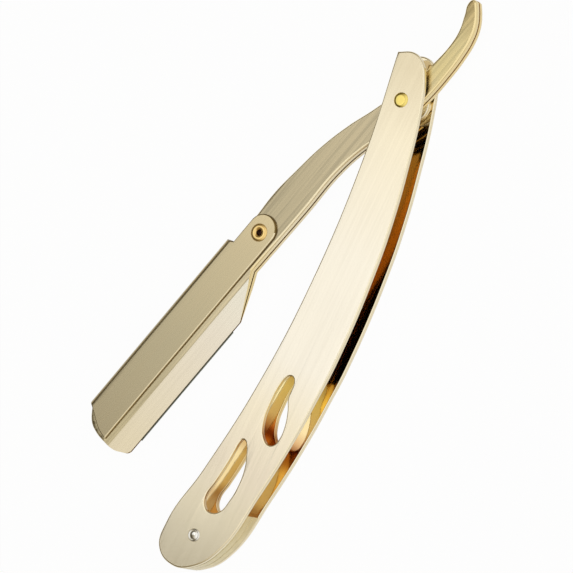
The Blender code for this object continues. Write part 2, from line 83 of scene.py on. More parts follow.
picture_right = PICTURE_UP.cross(TOWARDS_CAMERA).normalized()
picture_up = TOWARDS_CAMERA.cross(picture_right)
camera_data = bpy.data.cameras.new("camera")
camera_data.sensor_width = SENSOR_WIDTH
camera_data.lens = SENSOR_WIDTH * CAMERA_DISTANCE / VIEW_WIDTH
camera_data.clip_start = CLIP_START
camera_data.clip_end = CLIP_END
camera = bpy.data.objects.new("camera", camera_data)
bpy.context.scene.collection.objects.link(camera)
turn = Matrix((picture_right, picture_up, TOWARDS_CAMERA)).transposed().to_4x4()
camera.matrix_world = Matrix.Translation(VIEW_CENTRE + TOWARDS_CAMERA * CAMERA_DISTANCE) @ turn
bpy.context.scene.camera = camera
print("lens", round(camera_data.lens, 1), "mm")

# %% [markdown]
# ## The table
#
# The photograph has a pure white ground with hardly any shadow, as a light tent gives. The table here is
# a plain pale plane that the razor lies on. It could be lit until it clips to white, but that light would
# bleach the metal too. Instead, rays that come straight from the camera, or by way of the metal, see it
# near white, and a share of its own shading stays, so the shadow does too.

# %% Paint the table
TABLE_PAINT = (0.92, 0.92, 0.92, 1)
SHADOW_KEPT = 0.04
REFLECTED_SHADOW_KEPT = 0.50


def new_material(name):
    """An empty node material, and its tree."""
    material = bpy.data.materials.new(name)
    material.use_nodes = True
    material.node_tree.nodes.clear()
    return material, material.node_tree


def add_node(tree, kind, **settings):
    """A node of this kind, with its properties set."""
    node = tree.nodes.new(kind)
    for key, value in settings.items():
        setattr(node, key, value)
    return node


def glow_share(tree):
    """How much of the table's glow a ray sees: most from the camera, and by way of a mirror or glass."""
    path = add_node(tree, "ShaderNodeLightPath")
    camera_part = add_node(tree, "ShaderNodeMath", operation="MULTIPLY")
    camera_part.inputs[1].default_value = 1 - SHADOW_KEPT
    mirrored = add_node(tree, "ShaderNodeMath", operation="MAXIMUM")
    mirror_part = add_node(tree, "ShaderNodeMath", operation="MULTIPLY")
    mirror_part.inputs[1].default_value = 1 - REFLECTED_SHADOW_KEPT
    either = add_node(tree, "ShaderNodeMath", operation="MAXIMUM")
    tree.links.new(path.outputs["Is Camera Ray"], camera_part.inputs[0])
    tree.links.new(path.outputs["Is Glossy Ray"], mirrored.inputs[0])
    tree.links.new(path.outputs["Is Transmission Ray"], mirrored.inputs[1])
    tree.links.new(mirrored.outputs[0], mirror_part.inputs[0])
    tree.links.new(camera_part.outputs[0], either.inputs[0])
    tree.links.new(mirror_part.outputs[0], either.inputs[1])
    return either.outputs[0]


table_material, tree = new_material("pale_table")
out = add_node(tree, "ShaderNodeOutputMaterial")
mix = add_node(tree, "ShaderNodeMixShader")
paint = add_node(tree, "ShaderNodeBsdfDiffuse")
paint.inputs["Color"].default_value = TABLE_PAINT
glow = add_node(tree, "ShaderNodeEmission")
glow.inputs["Strength"].default_value = 1.0
tree.links.new(glow_share(tree), mix.inputs["Fac"])
tree.links.new(paint.outputs[0], mix.inputs[1])
tree.links.new(glow.outputs[0], mix.inputs[2])
tree.links.new(mix.outputs[0], out.inputs["Surface"])
print(table_material.name, len(tree.nodes), "nodes")

# %% Lay the table
TABLE_SIZE = 6000 * MM
TABLE_DROP = 0.05 * MM

bm = bmesh.new()
bmesh.ops.create_grid(bm, x_segments=1, y_segments=1, size=TABLE_SIZE / 2)
bmesh.ops.translate(bm, verts=bm.verts, vec=(0, 0, -TABLE_DROP))
table_mesh = bpy.data.meshes.new("table")
bm.to_mesh(table_mesh)
bm.free()
table = bpy.data.objects.new("table", table_mesh)
table.data.materials.append(table_material)
bpy.context.scene.collection.objects.link(table)
table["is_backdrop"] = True
print("table", round(TABLE_SIZE / MM), "mm wide")

# %% [markdown]
# ## The light tent
#
# Polished metal shows little but what stands around it, so the tent is drawn with care. It is bright on
# the camera's side and overhead, and falls to a warm dark low down behind the razor. Edges that turn away
# from the camera catch that dark, which is what outlines them. A band of light along the horizon keeps
# the razor from going black when it is seen from low down or from behind. Panels and lamps could draw a
# tent too, but a gradient in the world has no edges that would show in the metal.

# %% Shade the tent
ROOF_STRENGTH = 1.0
DARK_STRENGTH = 0.08
TENT_AXIS = (-0.25, 0.6, 1.0)
DARK_BELOW = 0.20
BRIGHT_ABOVE = 1.10
HORIZON_STRENGTH = 0.50
HORIZON_TOP = 0.56
WARM_DARK = (1.0, 0.84, 0.55, 1)
WHITE = (1, 1, 1, 1)

world = bpy.data.worlds.new("tent")
world.use_nodes = True
bpy.context.scene.world = world
tree = world.node_tree
tree.nodes.clear()
where = add_node(tree, "ShaderNodeTexCoord")
along_axis = add_node(tree, "ShaderNodeVectorMath", operation="DOT_PRODUCT")
along_axis.inputs[1].default_value = TENT_AXIS
climb = add_node(tree, "ShaderNodeMapRange", interpolation_type="SMOOTHSTEP")
climb.inputs["From Min"].default_value = DARK_BELOW
climb.inputs["From Max"].default_value = BRIGHT_ABOVE
level = add_node(tree, "ShaderNodeMapRange")
level.inputs["To Min"].default_value = DARK_STRENGTH
level.inputs["To Max"].default_value = ROOF_STRENGTH
height = add_node(tree, "ShaderNodeSeparateXYZ")
horizon = add_node(tree, "ShaderNodeMapRange")
horizon.inputs["From Min"].default_value = HORIZON_TOP
horizon.inputs["From Max"].default_value = 0
horizon.inputs["To Max"].default_value = HORIZON_STRENGTH
brighter = add_node(tree, "ShaderNodeMath", operation="MAXIMUM")
warmth = add_node(tree, "ShaderNodeMix", data_type="RGBA")
warmth.inputs["A"].default_value = WARM_DARK
warmth.inputs["B"].default_value = WHITE
tree.links.new(where.outputs["Generated"], along_axis.inputs[0])
tree.links.new(along_axis.outputs["Value"], climb.inputs["Value"])
tree.links.new(climb.outputs[0], level.inputs["Value"])
tree.links.new(climb.outputs[0], warmth.inputs["Factor"])
tree.links.new(where.outputs["Generated"], height.inputs[0])
tree.links.new(height.outputs["Z"], horizon.inputs["Value"])
tree.links.new(level.outputs[0], brighter.inputs[0])
tree.links.new(horizon.outputs[0], brighter.inputs[1])
print("tent", DARK_STRENGTH, "to", ROOF_STRENGTH, "and", HORIZON_STRENGTH, "at the horizon")

# %% Show white behind the razor
path = add_node(tree, "ShaderNodeLightPath")
behind = add_node(tree, "ShaderNodeMix", data_type="FLOAT")
behind.inputs["B"].default_value = 1.0
behind_colour = add_node(tree, "ShaderNodeMix", data_type="RGBA")
behind_colour.inputs["B"].default_value = WHITE
sky = add_node(tree, "ShaderNodeBackground")
out = add_node(tree, "ShaderNodeOutputWorld")
tree.links.new(path.outputs["Is Camera Ray"], behind.inputs["Factor"])
tree.links.new(brighter.outputs[0], behind.inputs["A"])
tree.links.new(path.outputs["Is Camera Ray"], behind_colour.inputs["Factor"])
tree.links.new(warmth.outputs["Result"], behind_colour.inputs["A"])
tree.links.new(behind.outputs[0], sky.inputs["Strength"])
tree.links.new(behind_colour.outputs["Result"], sky.inputs["Color"])
tree.links.new(sky.outputs[0], out.inputs["Surface"])
bpy.context.scene.view_settings.view_transform = "Standard"
print(world.name, len(tree.nodes), "nodes")

# %% [markdown]
# One soft box hangs where the flat faces mirror it into the camera. It is near enough that its edges
# count: the middle of the handle is brightest, and the round end and the toe, which look past its
# edge, are darker. A lamp's radiance is its power over its area and pi, so the power is worked out
# from how bright the box should look.

# %% Hang the soft box
BOX_CENTRE = Vector((76, -221, 390)) * MM
BOX_TARGET = Vector((45, -10, 8)) * MM
BOX_LENGTH = 212 * MM
BOX_BREADTH = 220 * MM
BOX_RADIANCE = 0.74
BOX_COLOUR = (0.89, 0.94, 1.0)

box_data = bpy.data.lights.new("soft_box", "AREA")
box_data.shape = "RECTANGLE"
box_data.size = BOX_LENGTH
box_data.size_y = BOX_BREADTH
box_data.energy = BOX_RADIANCE * math.pi * BOX_LENGTH * BOX_BREADTH
box_data.color = BOX_COLOUR
soft_box = bpy.data.objects.new("soft_box", box_data)
bpy.context.scene.collection.objects.link(soft_box)
soft_box.location = BOX_CENTRE
soft_box.rotation_euler = (BOX_CENTRE - BOX_TARGET).normalized().to_track_quat("Z", "X").to_euler()
print("soft box", round(box_data.energy, 4), "W")

# %% [markdown]
# ## The metals
#
# Every part of the razor is plated metal, and two things tell the parts apart: the colour of the plating
# and how it was finished. The broad faces were brushed, the edges and the insides of the scales were
# polished. Fine lines could be an image, but noise stretched along the brush's path never repeats and
# stays sharp up close. Two node groups hold what the materials share: the brush's lines, and the soft
# cloud of marks and the slight waves that a handled, polished sheet has.

# %% Draw the brushed lines
LINE_CONTRAST = (0.36, 0.64)


def new_group(name, inputs, outputs):
    """A node group with the sockets that are named, and its input and output nodes."""
    group = bpy.data.node_groups.new(name, "ShaderNodeTree")
    for label, kind in inputs:
        group.interface.new_socket(label, in_out="INPUT", socket_type=kind)
    for label, kind in outputs:
        group.interface.new_socket(label, in_out="OUTPUT", socket_type=kind)
    return group, add_node(group, "NodeGroupInput"), add_node(group, "NodeGroupOutput")


def contrasted(tree, value, contrast):
    """A noise value spread from 0 to 1 between two of its own values."""
    spread = add_node(tree, "ShaderNodeMapRange")
    spread.inputs["From Min"].default_value = contrast[0]
    spread.inputs["From Max"].default_value = contrast[1]
    tree.links.new(value, spread.inputs["Value"])
    return spread.outputs[0]


brushing, given, made = new_group(
    "brushed_lines",
    [("Vector", "NodeSocketVector"), ("Along", "NodeSocketFloat"), ("Across", "NodeSocketFloat")],
    [("Lines", "NodeSocketFloat"), ("Height", "NodeSocketFloat")],
)
stretch = add_node(brushing, "ShaderNodeCombineXYZ")
stretched = add_node(brushing, "ShaderNodeVectorMath", operation="MULTIPLY")
fine = add_node(brushing, "ShaderNodeTexNoise")
fine.inputs["Scale"].default_value = 1.0
fine.inputs["Detail"].default_value = 1.0
fine.inputs["Roughness"].default_value = 0.5
brushing.links.new(given.outputs["Along"], stretch.inputs["X"])
brushing.links.new(given.outputs["Across"], stretch.inputs["Y"])
brushing.links.new(given.outputs["Across"], stretch.inputs["Z"])
brushing.links.new(given.outputs["Vector"], stretched.inputs[0])
brushing.links.new(stretch.outputs[0], stretched.inputs[1])
brushing.links.new(stretched.outputs[0], fine.inputs["Vector"])
brushing.links.new(contrasted(brushing, fine.outputs["Fac"], LINE_CONTRAST), made.inputs["Lines"])
brushing.links.new(fine.outputs["Fac"], made.inputs["Height"])
print(brushing.name, len(brushing.nodes), "nodes")

# %% Draw the marks of handling
CLOUD_CONTRAST = (0.35, 0.65)
CLOUD_DETAIL = 2.0
WAVE_DETAIL = 0.0
WAVE_SCALE_SHARE = 0.5

handling, given, made = new_group(
    "handling_marks",
    [("Vector", "NodeSocketVector"), ("Size", "NodeSocketFloat")],
    [("Cloud", "NodeSocketFloat"), ("Waves", "NodeSocketFloat")],
)
cloud = add_node(handling, "ShaderNodeTexNoise")
cloud.inputs["Detail"].default_value = CLOUD_DETAIL
waves = add_node(handling, "ShaderNodeTexNoise")
waves.inputs["Detail"].default_value = WAVE_DETAIL
wider = add_node(handling, "ShaderNodeMath", operation="MULTIPLY")
wider.inputs[1].default_value = WAVE_SCALE_SHARE
handling.links.new(given.outputs["Vector"], cloud.inputs["Vector"])
handling.links.new(given.outputs["Size"], cloud.inputs["Scale"])
handling.links.new(given.outputs["Vector"], waves.inputs["Vector"])
handling.links.new(given.outputs["Size"], wider.inputs[0])
handling.links.new(wider.outputs[0], waves.inputs["Scale"])
handling.links.new(contrasted(handling, cloud.outputs["Fac"], CLOUD_CONTRAST), made.inputs["Cloud"])
handling.links.new(waves.outputs["Fac"], made.inputs["Waves"])
print(handling.name, len(handling.nodes), "nodes")

# %% [markdown]
# The photograph's gold drifts in tone along the razor, because the metal mirrors parts of a room that
# isn't seen. A colour ramp that is read along the razor stands in for that. Colour laid on from the
# camera would look right from one side only, while a ramp belongs to the metal and turns with it. What it
# can't do is move with the viewer, as a real reflection would.

# %% Read tones along the razor
TONES_START = -40 * MM
TONES_END = 140 * MM


def srgb(red, green, blue):
    """A colour given in the usual 0 to 255 steps, as light."""
    shares = [value / 255 for value in (red, green, blue)]
    light = [s / 12.92 if s <= 0.04045 else ((s + 0.055) / 1.055) ** 2.4 for s in shares]
    return (*light, 1)


def set_tones(ramp, stops):
    """Put tones in a colour ramp, each at its place along the razor in millimetres."""
    if len(stops) == 1:
        stops = stops * 2
    places = [(x * MM - TONES_START) / (TONES_END - TONES_START) for x, tone in stops]
    for place in places[2:]:
        ramp.elements.new(place)
    for element, place, (x, tone) in zip(ramp.elements, places, stops):
        element.position = place
        element.color = srgb(*tone)


def tone_along(tree, vector, axis, stops):
    """The tone by the place along an axis: the plating's colour, and in some ramps painted light and painted
    reflection.
    """
    split = add_node(tree, "ShaderNodeSeparateXYZ")
    along = add_node(tree, "ShaderNodeMapRange")
    along.inputs["From Min"].default_value = TONES_START
    along.inputs["From Max"].default_value = TONES_END
    tones = add_node(tree, "ShaderNodeValToRGB")
    set_tones(tones.color_ramp, stops)
    tree.links.new(vector, split.inputs[0])
    tree.links.new(split.outputs[axis], along.inputs["Value"])
    tree.links.new(along.outputs[0], tones.inputs["Fac"])
    return tones.outputs["Color"]


print("tones run from", round(TONES_START / MM), "to", round(TONES_END / MM), "mm")

# %% [markdown]
# A metal is one Principled shader over those tones. The brush's lines, or the cloud of marks where the
# metal was polished, darken the tone by a share and change the roughness, so the pattern shows in the
# colour and in the gloss. One Bump node turns the lines into relief, and another gives a polished sheet
# its slight waves. Real relief would take far more faces than such fine lines are worth.

# %% Spread a pattern and raise it
LINE_HEIGHT = 0.1 * MM
WAVE_HEIGHT = 1.0 * MM


def between(tree, value, low, high):
    """A value from 0 to 1 spread between two others."""
    spread = add_node(tree, "ShaderNodeMapRange")
    spread.inputs["To Min"].default_value = low
    spread.inputs["To Max"].default_value = high
    tree.links.new(value, spread.inputs["Value"])
    return spread.outputs[0]


def raised(tree, height, strength, distance):
    """A Bump node over a pattern."""
    bump = add_node(tree, "ShaderNodeBump")
    bump.inputs["Strength"].default_value = strength
    bump.inputs["Distance"].default_value = distance
    tree.links.new(height, bump.inputs["Height"])
    return bump


print("bumps reach", round(LINE_HEIGHT / MM, 2), "mm for lines and", round(WAVE_HEIGHT / MM, 2), "for waves")

# %% [markdown]
# The arm lies at an angle to the handle, so a Mapping node turns its lines to run along it. Brushed and
# polished metals are the same function with other values, which keeps the plating alike on both.

# %% Make a metal
ARM_ANGLE = math.radians(-16.63)
STROKES_ALONG = 40.0
STROKES_ACROSS = 1700.0
MARK_SIZE = 60.0
POLISHED_LINES = 0.2


def plated(
    name,
    stops,
    depth=0.9,
    roughness=(0.2, 0.3),
    turn=0.0,
    lines=1.0,
    relief=0.02,
    waves=0.0,
    axis="X",
):
    """A plated metal with tones along an axis.

    depth is the share of the tone left where the pattern is darkest, and roughness goes from there to
    where it is brightest. lines is the brush's part in the pattern against the marks', turn the angle of
    the lines, and relief and waves how strongly each stands out.
    """
    material, tree = new_material(name)
    out = add_node(tree, "ShaderNodeOutputMaterial")
    metal = add_node(tree, "ShaderNodeBsdfPrincipled")
    metal.inputs["Metallic"].default_value = 1.0
    where = add_node(tree, "ShaderNodeTexCoord").outputs["Object"]
    turned = add_node(tree, "ShaderNodeMapping")
    turned.inputs["Rotation"].default_value = (0, 0, -turn)
    brushed = add_node(tree, "ShaderNodeGroup", node_tree=brushing)
    brushed.inputs["Along"].default_value = STROKES_ALONG
    brushed.inputs["Across"].default_value = STROKES_ACROSS
    marks = add_node(tree, "ShaderNodeGroup", node_tree=handling)
    marks.inputs["Size"].default_value = MARK_SIZE
    worn = add_node(tree, "ShaderNodeMix", data_type="FLOAT")
    worn.inputs["Factor"].default_value = lines
    colour = add_node(tree, "ShaderNodeVectorMath", operation="SCALE")
    wave_bump = raised(tree, marks.outputs["Waves"], waves, WAVE_HEIGHT)
    line_bump = raised(tree, brushed.outputs["Height"], relief, LINE_HEIGHT)
    tones_from = where if axis == "X" else turned.outputs[0]
    tree.links.new(where, turned.inputs["Vector"])
    tree.links.new(turned.outputs[0], brushed.inputs["Vector"])
    tree.links.new(where, marks.inputs["Vector"])
    tree.links.new(marks.outputs["Cloud"], worn.inputs["A"])
    tree.links.new(brushed.outputs["Lines"], worn.inputs["B"])
    tree.links.new(tone_along(tree, tones_from, axis, stops), colour.inputs[0])
    tree.links.new(between(tree, worn.outputs[0], depth, 1.0), colour.inputs["Scale"])
    tree.links.new(colour.outputs[0], metal.inputs["Base Color"])
    tree.links.new(between(tree, worn.outputs[0], *roughness), metal.inputs["Roughness"])
    tree.links.new(wave_bump.outputs[0], line_bump.inputs["Normal"])
    tree.links.new(line_bump.outputs[0], metal.inputs["Normal"])
    tree.links.new(metal.outputs[0], out.inputs["Surface"])
    print(name, len(stops), "tones")
    return material


def polished(name, stops, depth=0.94, roughness=(0.08, 0.14), waves=0.0):
    """A metal whose lines were polished away, but for a trace."""
    return plated(name, stops, depth, roughness, lines=POLISHED_LINES, relief=0.0, waves=waves)


print("lines turn by", round(math.degrees(ARM_ANGLE), 2), "degrees on the arm")

# %% [markdown]
# ## The shared frame of the pieces
#
# The handle lies along X with the pivot pin at the origin. The arm was drawn straight, from the pin
# towards the toe, and is turned as a whole to the angle of the photograph; the lock was drawn from its
# hollow rivet. Each piece is modelled in the frame that suits it and then moved in its mesh, so that
# the finished object sits at the origin and its pattern stays where it is when the arm turns.

# %% Give the heights and the frames of the razor
SCALE_THICKNESS = 1.4 * MM
SCALE_GAP = 5.3 * MM
HEAD_HEIGHT = 0.35 * MM
LEAF_STACK = 3.6 * MM
BLADE_SLOT = 0.3 * MM
SEAT_GAP = 0.03 * MM
MIDDLE_Z = HEAD_HEIGHT + SCALE_THICKNESS + SCALE_GAP / 2
REAR_INNER_Z = HEAD_HEIGHT + SCALE_THICKNESS
FRONT_INNER_Z = REAR_INNER_Z + SCALE_GAP
FRONT_FACE_Z = FRONT_INNER_Z + SCALE_THICKNESS
HANDLE_REACH = 129.55 * MM
HANDLE_BREADTH = 16.0 * MM
END_RIVET_X = 120.11 * MM
SHANK_LENGTH = 70.0 * MM
HOLDER_DEPTH = 16.35 * MM
EDGE_RISE = 3.75 * MM
TOE_CORNER = 113.4 * MM
TOE_BULGE = 4.15 * MM
BACK_LINE = EDGE_RISE - HOLDER_DEPTH
LIP_LINE = EDGE_RISE - 7.05 * MM
LUG_RADIUS = 4.0 * MM
EYELET_REACH = 49.9 * MM
EYELET_LINE = LIP_LINE - LUG_RADIUS

HANDLE_PLACE = Matrix.Identity(4)
ARM_PLACE = Matrix.Translation((0, 0, MIDDLE_Z)) @ Matrix.Rotation(ARM_ANGLE, 4, "Z")
LOCK_PLACE = ARM_PLACE @ Matrix.Translation((EYELET_REACH, EYELET_LINE, 0))
print("middle of the razor", round(MIDDLE_Z / MM, 3), "mm up; scales end at", round(FRONT_FACE_Z / MM, 3))

# %% [markdown]
# ## Plates with a round rim
#
# A scale is a flat sheet with two windows, and its edges are polished round. A flat curve suits that:
# closed splines fill to a face with holes, Extrude gives the sheet's thickness, and a bevel with a
# negative Offset rounds the rim inwards, so the outline keeps its size. The curve is made a mesh before
# anything else happens to it. An extruded circle could be shaped instead, but its long, gentle arcs
# would take many more points to place than a curve's knots.

# %% Draw plates from flat curves
CURVE_STEPS = 12
RIM_STEPS = 3
WELD_DISTANCE = 0.002 * MM


def outline(shares, across, along, start=(0.0, 0.0)):
    """The points of an outline given as shares of two sizes; True marks a sharp corner."""
    return [(start[0] + x * across, start[1] + y * along, corner) for x, y, corner in shares]


def plate(outlines, thickness, rim):
    """A plate about z 0 from closed outlines, the outer one first."""
    curve = bpy.data.curves.new("plate", "CURVE")
    curve.dimensions = "2D"
    curve.fill_mode = "BOTH"
    curve.extrude = thickness / 2 - rim
    curve.bevel_depth = rim
    curve.bevel_resolution = RIM_STEPS
    curve.offset = -rim
    curve.resolution_u = CURVE_STEPS
    for points in outlines:
        spline = curve.splines.new("BEZIER")
        spline.bezier_points.add(len(points) - 1)
        spline.use_cyclic_u = True
        for knot, (x, y, corner) in zip(spline.bezier_points, points):
            knot.co = (x, y, 0)
            knot.handle_left_type = "VECTOR" if corner else "AUTO"
            knot.handle_right_type = "VECTOR" if corner else "AUTO"
    drawn = bpy.data.objects.new("plate", curve)
    mesh = bpy.data.meshes.new_from_object(drawn)
    bpy.data.objects.remove(drawn)
    bpy.data.curves.remove(curve)
    bm = bmesh.new()
    bm.from_mesh(mesh)
    bpy.data.meshes.remove(mesh)
    bmesh.ops.remove_doubles(bm, verts=bm.verts, dist=WELD_DISTANCE)
    bmesh.ops.recalc_face_normals(bm, faces=bm.faces)
    return bm


print("rims have", RIM_STEPS + 1, "steps a quarter")

# %% [markdown]
# Holes, ground slopes and trimmed sheet are all cuts, and a Boolean modifier makes them. It works on
# objects, so a shape becomes a short-lived object, gets its modifiers, is read back, and is removed.

# %% Cut shapes with Booleans
BORE_REACH = 20 * MM
BORE_SEGMENTS = 96


def passing_object(bm):
    """A short-lived object in the scene, for a modifier."""
    mesh = bpy.data.meshes.new("passing")
    bm.to_mesh(mesh)
    bm.free()
    obj = bpy.data.objects.new("passing", mesh)
    bpy.context.scene.collection.objects.link(obj)
    return obj


def read_back(body, others=()):
    """The shape that an object's modifiers give; it and the other short-lived objects are removed."""
    graph = bpy.context.evaluated_depsgraph_get()
    mesh = bpy.data.meshes.new_from_object(body.evaluated_get(graph))
    for obj in (body, *others):
        spent = obj.data
        bpy.data.objects.remove(obj)
        bpy.data.meshes.remove(spent)
    bm = bmesh.new()
    bm.from_mesh(mesh)
    bpy.data.meshes.remove(mesh)
    return bm


def carve(bm, cutters, operation="DIFFERENCE"):
    """The shape after Booleans with the cutters' shapes."""
    body = passing_object(bm)
    tools = [passing_object(cutter) for cutter in cutters]
    for tool in tools:
        boolean = body.modifiers.new("carve", "BOOLEAN")
        boolean.operation = operation
        boolean.object = tool
        boolean.solver = "EXACT"
    carved = read_back(body, tools)
    bmesh.ops.dissolve_degenerate(carved, edges=carved.edges, dist=WELD_DISTANCE)
    return carved


def bore(radius, x=0.0, y=0.0):
    """An upright cylinder that bores a hole right through."""
    bm = bmesh.new()
    bmesh.ops.create_cone(
        bm, cap_ends=True, segments=BORE_SEGMENTS, radius1=radius, radius2=radius, depth=2 * BORE_REACH
    )
    bmesh.ops.translate(bm, verts=bm.verts, vec=(x, y, 0))
    return bm


def block(low, high):
    """A box between two corners."""
    bm = bmesh.new()
    bmesh.ops.create_cube(bm, size=1)
    bmesh.ops.scale(bm, verts=bm.verts, vec=Vector(high) - Vector(low))
    bmesh.ops.translate(bm, verts=bm.verts, vec=(Vector(low) + Vector(high)) / 2)
    return bm


print("bores have", BORE_SEGMENTS, "sides")

# %% Finish a piece
SMOOTH_BELOW = math.radians(32)
FACE_WEIGHT = 100


def finish_piece(bm, name, node, body, materials, place=HANDLE_PLACE):
    """The finished object of a piece: its place in its mesh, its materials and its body."""
    bmesh.ops.transform(bm, verts=bm.verts, matrix=place)
    mesh = bpy.data.meshes.new(name)
    bm.to_mesh(mesh)
    bm.free()
    for material in materials:
        mesh.materials.append(material)
    mesh.shade_smooth()
    mesh.set_sharp_from_angle(angle=SMOOTH_BELOW)
    piece = bpy.data.objects.new(name, mesh)
    bpy.context.scene.collection.objects.link(piece)
    flat = piece.modifiers.new("keep_faces_flat", "WEIGHTED_NORMAL")
    flat.weight = FACE_WEIGHT
    flat.keep_sharp = True
    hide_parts(node)
    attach(piece, body)
    print(name, len(mesh.polygons), "faces")


print("edges under", round(math.degrees(SMOOTH_BELOW)), "degrees are shaded smooth")

# %% [markdown]
# ## The two scales
#
# The scales are the handle's sides. Their outer faces are brushed along their length and their rims are
# polished. The insides are polished too, and so are the windows' walls. They show through the windows and
# past the front scale, where each mirrors the other again and again. Their tone along the handle is painted
# reflection: its yellow, amber and brown steps were set to match the bands of the photograph, which are
# reflections of a room that isn't seen, and the mirrors deepen them. From another side they stay where they
# are, where a real reflection would move.

# %% Plate the scales
# The outer faces' plating colour with painted light along the handle: brightest in the middle, darker
# towards the pivot end and near 100 mm.
SCALE_TONES_AND_PAINTED_LIGHT = [
    (-8, (240, 226, 194)),
    (8, (252, 240, 212)),
    (40, (254, 246, 229)),
    (70, (254, 246, 230)),
    (84, (252, 240, 214)),
    (100, (248, 235, 212)),
    (112, (254, 243, 216)),
    (125, (255, 246, 222)),
]
SCALE_RIM_TONES = [(0, (250, 238, 206))]
# The insides' plating colour with painted reflections: yellow, amber and brown steps, darkest near 90 mm.
INNER_TONES_AND_PAINTED_REFLECTIONS = [
    (0, (246, 232, 200)),
    (14, (236, 212, 162)),
    (45, (222, 192, 142)),
    (68, (206, 176, 124)),
    (77, (252, 232, 168)),
    (85, (250, 226, 172)),
    (88.4, (224, 180, 128)),
    (90, (170, 116, 72)),
    (91.4, (228, 184, 126)),
    (94, (212, 174, 116)),
    (97.5, (246, 222, 166)),
    (106.5, (246, 220, 164)),
    (109.3, (216, 182, 130)),
    (112.0, (232, 206, 162)),
]
scale_brushed = plated("brushed_scale", SCALE_TONES_AND_PAINTED_LIGHT, depth=0.96, roughness=(0.20, 0.27), lines=0.6)
scale_rim = polished("polished_scale_rim", SCALE_RIM_TONES)
scale_inside_painted_reflections = polished("polished_scale_inside_painted_reflections", INNER_TONES_AND_PAINTED_REFLECTIONS, roughness=(0.04, 0.08), waves=0.6)

# %% Draw the scales and their windows
SCALE_SHARES = [
    (-0.080, -0.425, True),
    (0.122, -0.179, False),
    (0.386, -0.057, False),
    (0.617, -0.141, False),
    (0.810, -0.365, False),
    (0.933, -0.558, False),
    (0.982, -0.483, False),
    (1.000, -0.134, False),
    (0.983, 0.201, False),
    (0.930, 0.516, False),
    (0.804, 0.723, False),
    (0.648, 0.886, False),
    (0.587, 0.916, False),
    (0.509, 0.945, False),
    (0.308, 0.868, False),
    (0.201, 0.754, False),
    (0.116, 0.617, False),
    (0.000, 0.383, False),
    (-0.056, 0.211, False),
    (-0.083, 0.043, False),
    (-0.092, -0.147, False),
]
UPPER_WINDOW_SHARES = [
    (0.567, 0.331, False),
    (0.576, 0.266, False),
    (0.591, 0.231, False),
    (0.628, 0.213, False),
    (0.668, 0.249, False),
    (0.694, 0.356, False),
    (0.703, 0.494, False),
    (0.698, 0.584, False),
    (0.684, 0.625, False),
    (0.658, 0.618, False),
    (0.628, 0.544, False),
    (0.607, 0.461, False),
    (0.588, 0.447, False),
    (0.575, 0.434, False),
    (0.567, 0.388, False),
]
LOWER_WINDOW_SHARES = [
    (0.719, 0.056, False),
    (0.727, 0.026, False),
    (0.745, 0.009, False),
    (0.768, -0.006, False),
    (0.817, -0.066, False),
    (0.850, -0.113, False),
    (0.867, -0.056, False),
    (0.873, 0.069, False),
    (0.863, 0.219, False),
    (0.833, 0.300, False),
    (0.798, 0.325, False),
    (0.763, 0.288, False),
    (0.740, 0.216, False),
    (0.726, 0.156, False),
    (0.719, 0.103, False),
]
scale_outlines = [
    outline(shares, HANDLE_REACH, HANDLE_BREADTH)
    for shares in (SCALE_SHARES, UPPER_WINDOW_SHARES, LOWER_WINDOW_SHARES)
]
print("points of the scale and its windows:", [len(points) for points in scale_outlines])

# %% Make the two scales
SCALE_RIM = 0.42 * MM
PIVOT_BORE_RADIUS = 1.58 * MM
END_BORE_RADIUS = 1.16 * MM
WINDOW_MARGIN = 1.0 * MM
FLAT_SHARE = 0.9995
WALL_SHARE = 0.6
OUTER, RIM, INNER = range(3)


def in_window(place):
    """Whether a place lies in the reach of one of the two windows."""
    reach = []
    for points in scale_outlines[1:]:
        xs = [x for x, y, corner in points]
        ys = [y for x, y, corner in points]
        in_x = min(xs) - WINDOW_MARGIN < place.x < max(xs) + WINDOW_MARGIN
        in_y = min(ys) - WINDOW_MARGIN < place.y < max(ys) + WINDOW_MARGIN
        reach.append(in_x and in_y)
    return any(reach)


def scale_finish(face, outer_side):
    """Which of the scale's three finishes a face has."""
    outward = face.normal.z * outer_side
    if outward > FLAT_SHARE:
        return OUTER
    if outward < -FLAT_SHARE:
        return INNER
    if outward < WALL_SHARE and in_window(face.calc_center_median()):
        return INNER
    return RIM


def scale_plate(low_z, outer_side):
    """A scale at its height, bored for the pin and the rivet."""
    bm = plate(scale_outlines, SCALE_THICKNESS, SCALE_RIM)
    bmesh.ops.translate(bm, verts=bm.verts, vec=(0, 0, low_z + SCALE_THICKNESS / 2))
    bm = carve(bm, [bore(PIVOT_BORE_RADIUS), bore(END_BORE_RADIUS, END_RIVET_X)])
    bm.normal_update()
    for face in bm.faces:
        face.material_index = scale_finish(face, outer_side)
    return bm


scale_finishes = [scale_brushed, scale_rim, scale_inside_painted_reflections]
front_bm = scale_plate(FRONT_INNER_Z, 1)
rear_bm = scale_plate(HEAD_HEIGHT, -1)
finish_piece(front_bm, "front_scale_plate", "front_scale", "handle", scale_finishes)
finish_piece(rear_bm, "rear_scale_plate", "rear_scale", "handle", scale_finishes)

# %% [markdown]
# ## The spacers at the round end
#
# Two thick plates fill the round end of the handle and hold the scales apart. Their rims are hardly
# rounded, so the seam between them stays a fine line. Their leading edge is an arc about the pivot, so the
# arm's toe swings past it with a small gap. An outline of their own could be drawn, but the scales'
# outline, filled again, is sure to be flush with them, and a Boolean takes away what the toe sweeps, but
# for a horn along the top. The outer wall has its own, duller finish, and the rest has the scales' inner
# polish.

